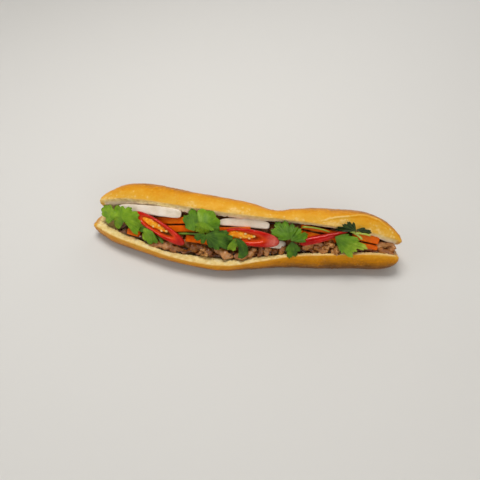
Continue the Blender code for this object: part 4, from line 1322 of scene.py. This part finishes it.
def makePork():
    material, solid = porkMaterial(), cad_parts["pork_filling"].data
    makeCore(solid, material)
    slices, parts, layers = chosenSlices(surfaceOf(solid)), [], {"tone": [], "along": [], "around": []}
    for *shape, shade, seed in slices:
        some, sides, far, turned = porkSlice(*shape, seed)
        parts.append((some, sides))
        edge = np.abs(np.cos(turned * 2 * math.pi)) ** 5 * 0.22 + np.abs(2 * far - 1) ** 5 * 0.12
        for key, values in zip(layers, (shade + edge, far + seed, turned)):
            layers[key] += list(values)
    vertices, faces = joined(parts)
    piece = newPiece("porkSlices", vertices, faces, material, carries=True, **layers)
    rooted(piece, "grilled_pork")
    across, out = inMouth(vertices[:, 1:])
    mask = np.zeros(len(vertices))
    for x, a, spread in pork["crispSpots"]:
        far = np.hypot(vertices[:, 0] - x, across - a)
        mask = np.maximum(mask, np.clip(1.4 - far / spread, 0, 1))
    surface = inMouth(over(vertices[:, 0], across, 0.0)[:, 1:])[1]
    mask *= out > surface - pork["crispDepth"]
    rooted(strew("crispBits", piece, mask, crispMaterial(), pork["crisps"]), "grilled_pork")
    print("pork slices:", len(slices), "of", len(vertices), "points")


makeCarrots()
makeDaikons()
makePork()
makeChillies()
makeStalks()
makeCoriander()


stage = {  # the camera and its target are in the roll's own mm, the floor and the lamps in m
    "lens": 34.3, "sensor": 36.0, "nearest": 0.01, "farthest": 20.0,
    "camera": (35.02, -265.41, 373.0), "target": (-2.0, -2.0, 20.0), "lampTarget": (0, 0, 0.02),
    "floorRadius": 1.5, "coveRadius": 0.8, "coveSteps": 14, "wallTop": 1.8, "floorSteps": 96, "farGlow": 0.4,
    "floorColour": "#dcdad6", "worldColour": "#eef0f3", "worldStrength": 0.10,
    "lights": (  # name, place, width, power, colour
        ("keyLight", (-0.12, 0.20, 0.95), 0.50, 6.0, (1.0, 0.985, 0.96)),
        ("fillLight", (0.55, -0.80, 0.70), 0.80, 2.1, (1.0, 0.99, 0.97)),
        ("sideLight", (-0.80, -0.25, 0.55), 0.60, 1.0, (0.97, 0.98, 1.0)),
        ("backLight", (0.35, 0.85, 0.50), 0.60, 1.0, (0.97, 0.98, 1.0)),
    ),
}


def makeFloor():
    # a round floor that curves up into a wall, and glows a little far away
    flat, cove, around = stage["floorRadius"], stage["coveRadius"], stage["floorSteps"]
    rings = [(flat / 3, 0.0), (flat * 2 / 3, 0.0), (flat, 0.0)]
    rings += [(flat + cove * math.sin(a), cove - cove * math.cos(a))
              for a in np.linspace(0.1, math.pi / 2, stage["coveSteps"])] + [(flat + cove, stage["wallTop"])]
    turns = np.linspace(0, 2 * math.pi, around, endpoint=False)
    vertices = [(r * math.cos(t) / mm, r * math.sin(t) / mm, z / mm) for r, z in rings for t in turns]
    vertices.append((0, 0, 0))
    faces = gridFaces(len(rings), around, closed=True)
    faces += [(len(vertices) - 1, k, (k + 1) % around) for k in range(around)]
    floor = newPiece("floor", np.array(vertices) - rollShift, faces)
    floor.data.flip_normals()
    material, tree = startMaterial("floorPaint", 0.75)
    paint = tree.nodes["Principled BSDF"].inputs
    for key in ("Base Color", "Emission Color"):
        paint[key].default_value = hexColour(stage["floorColour"])
    away = node(tree, "ShaderNodeVectorMath", {0: objectPlace(tree)}, operation="LENGTH").outputs["Value"]
    tree.links.new(span(away, 0.7, 1.8, 0.0, stage["farGlow"]), paint["Emission Strength"])
    floor.data.materials.append(material)


def aimed(name, data, where, target):
    # a lamp or a camera that looks at a place, both in m
    made = bpy.data.objects.new(name, data)
    made.location = Vector(where)
    made.rotation_euler = (Vector(target) - Vector(where)).to_track_quat("-Z", "Y").to_euler()
    bpy.context.scene.collection.objects.link(made)
    return made


def makeStage():
    makeFloor()
    scene = bpy.context.scene
    scene.world = bpy.data.worlds.new("softSky")
    scene.world.use_nodes = True
    background = scene.world.node_tree.nodes["Background"].inputs
    background["Color"].default_value = hexColour(stage["worldColour"])
    background["Strength"].default_value = stage["worldStrength"]
    scene.view_settings.view_transform = "Standard"
    for name, where, size, power, colour in stage["lights"]:
        data = bpy.data.lights.new(name, "AREA")
        data.shape, data.size, data.energy, data.color = "DISK", size, power, colour
        aimed(name, data, where, stage["lampTarget"])
    where, target = ((np.array(stage[key]) + rollShift) * mm for key in ("camera", "target"))
    scene.camera = aimed("camera", bpy.data.cameras.new("camera"), where, target)
    lens = scene.camera.data
    lens.lens, lens.sensor_width = stage["lens"], stage["sensor"]
    lens.clip_start, lens.clip_end = stage["nearest"], stage["farthest"]
    print("stage ready")


makeStage()
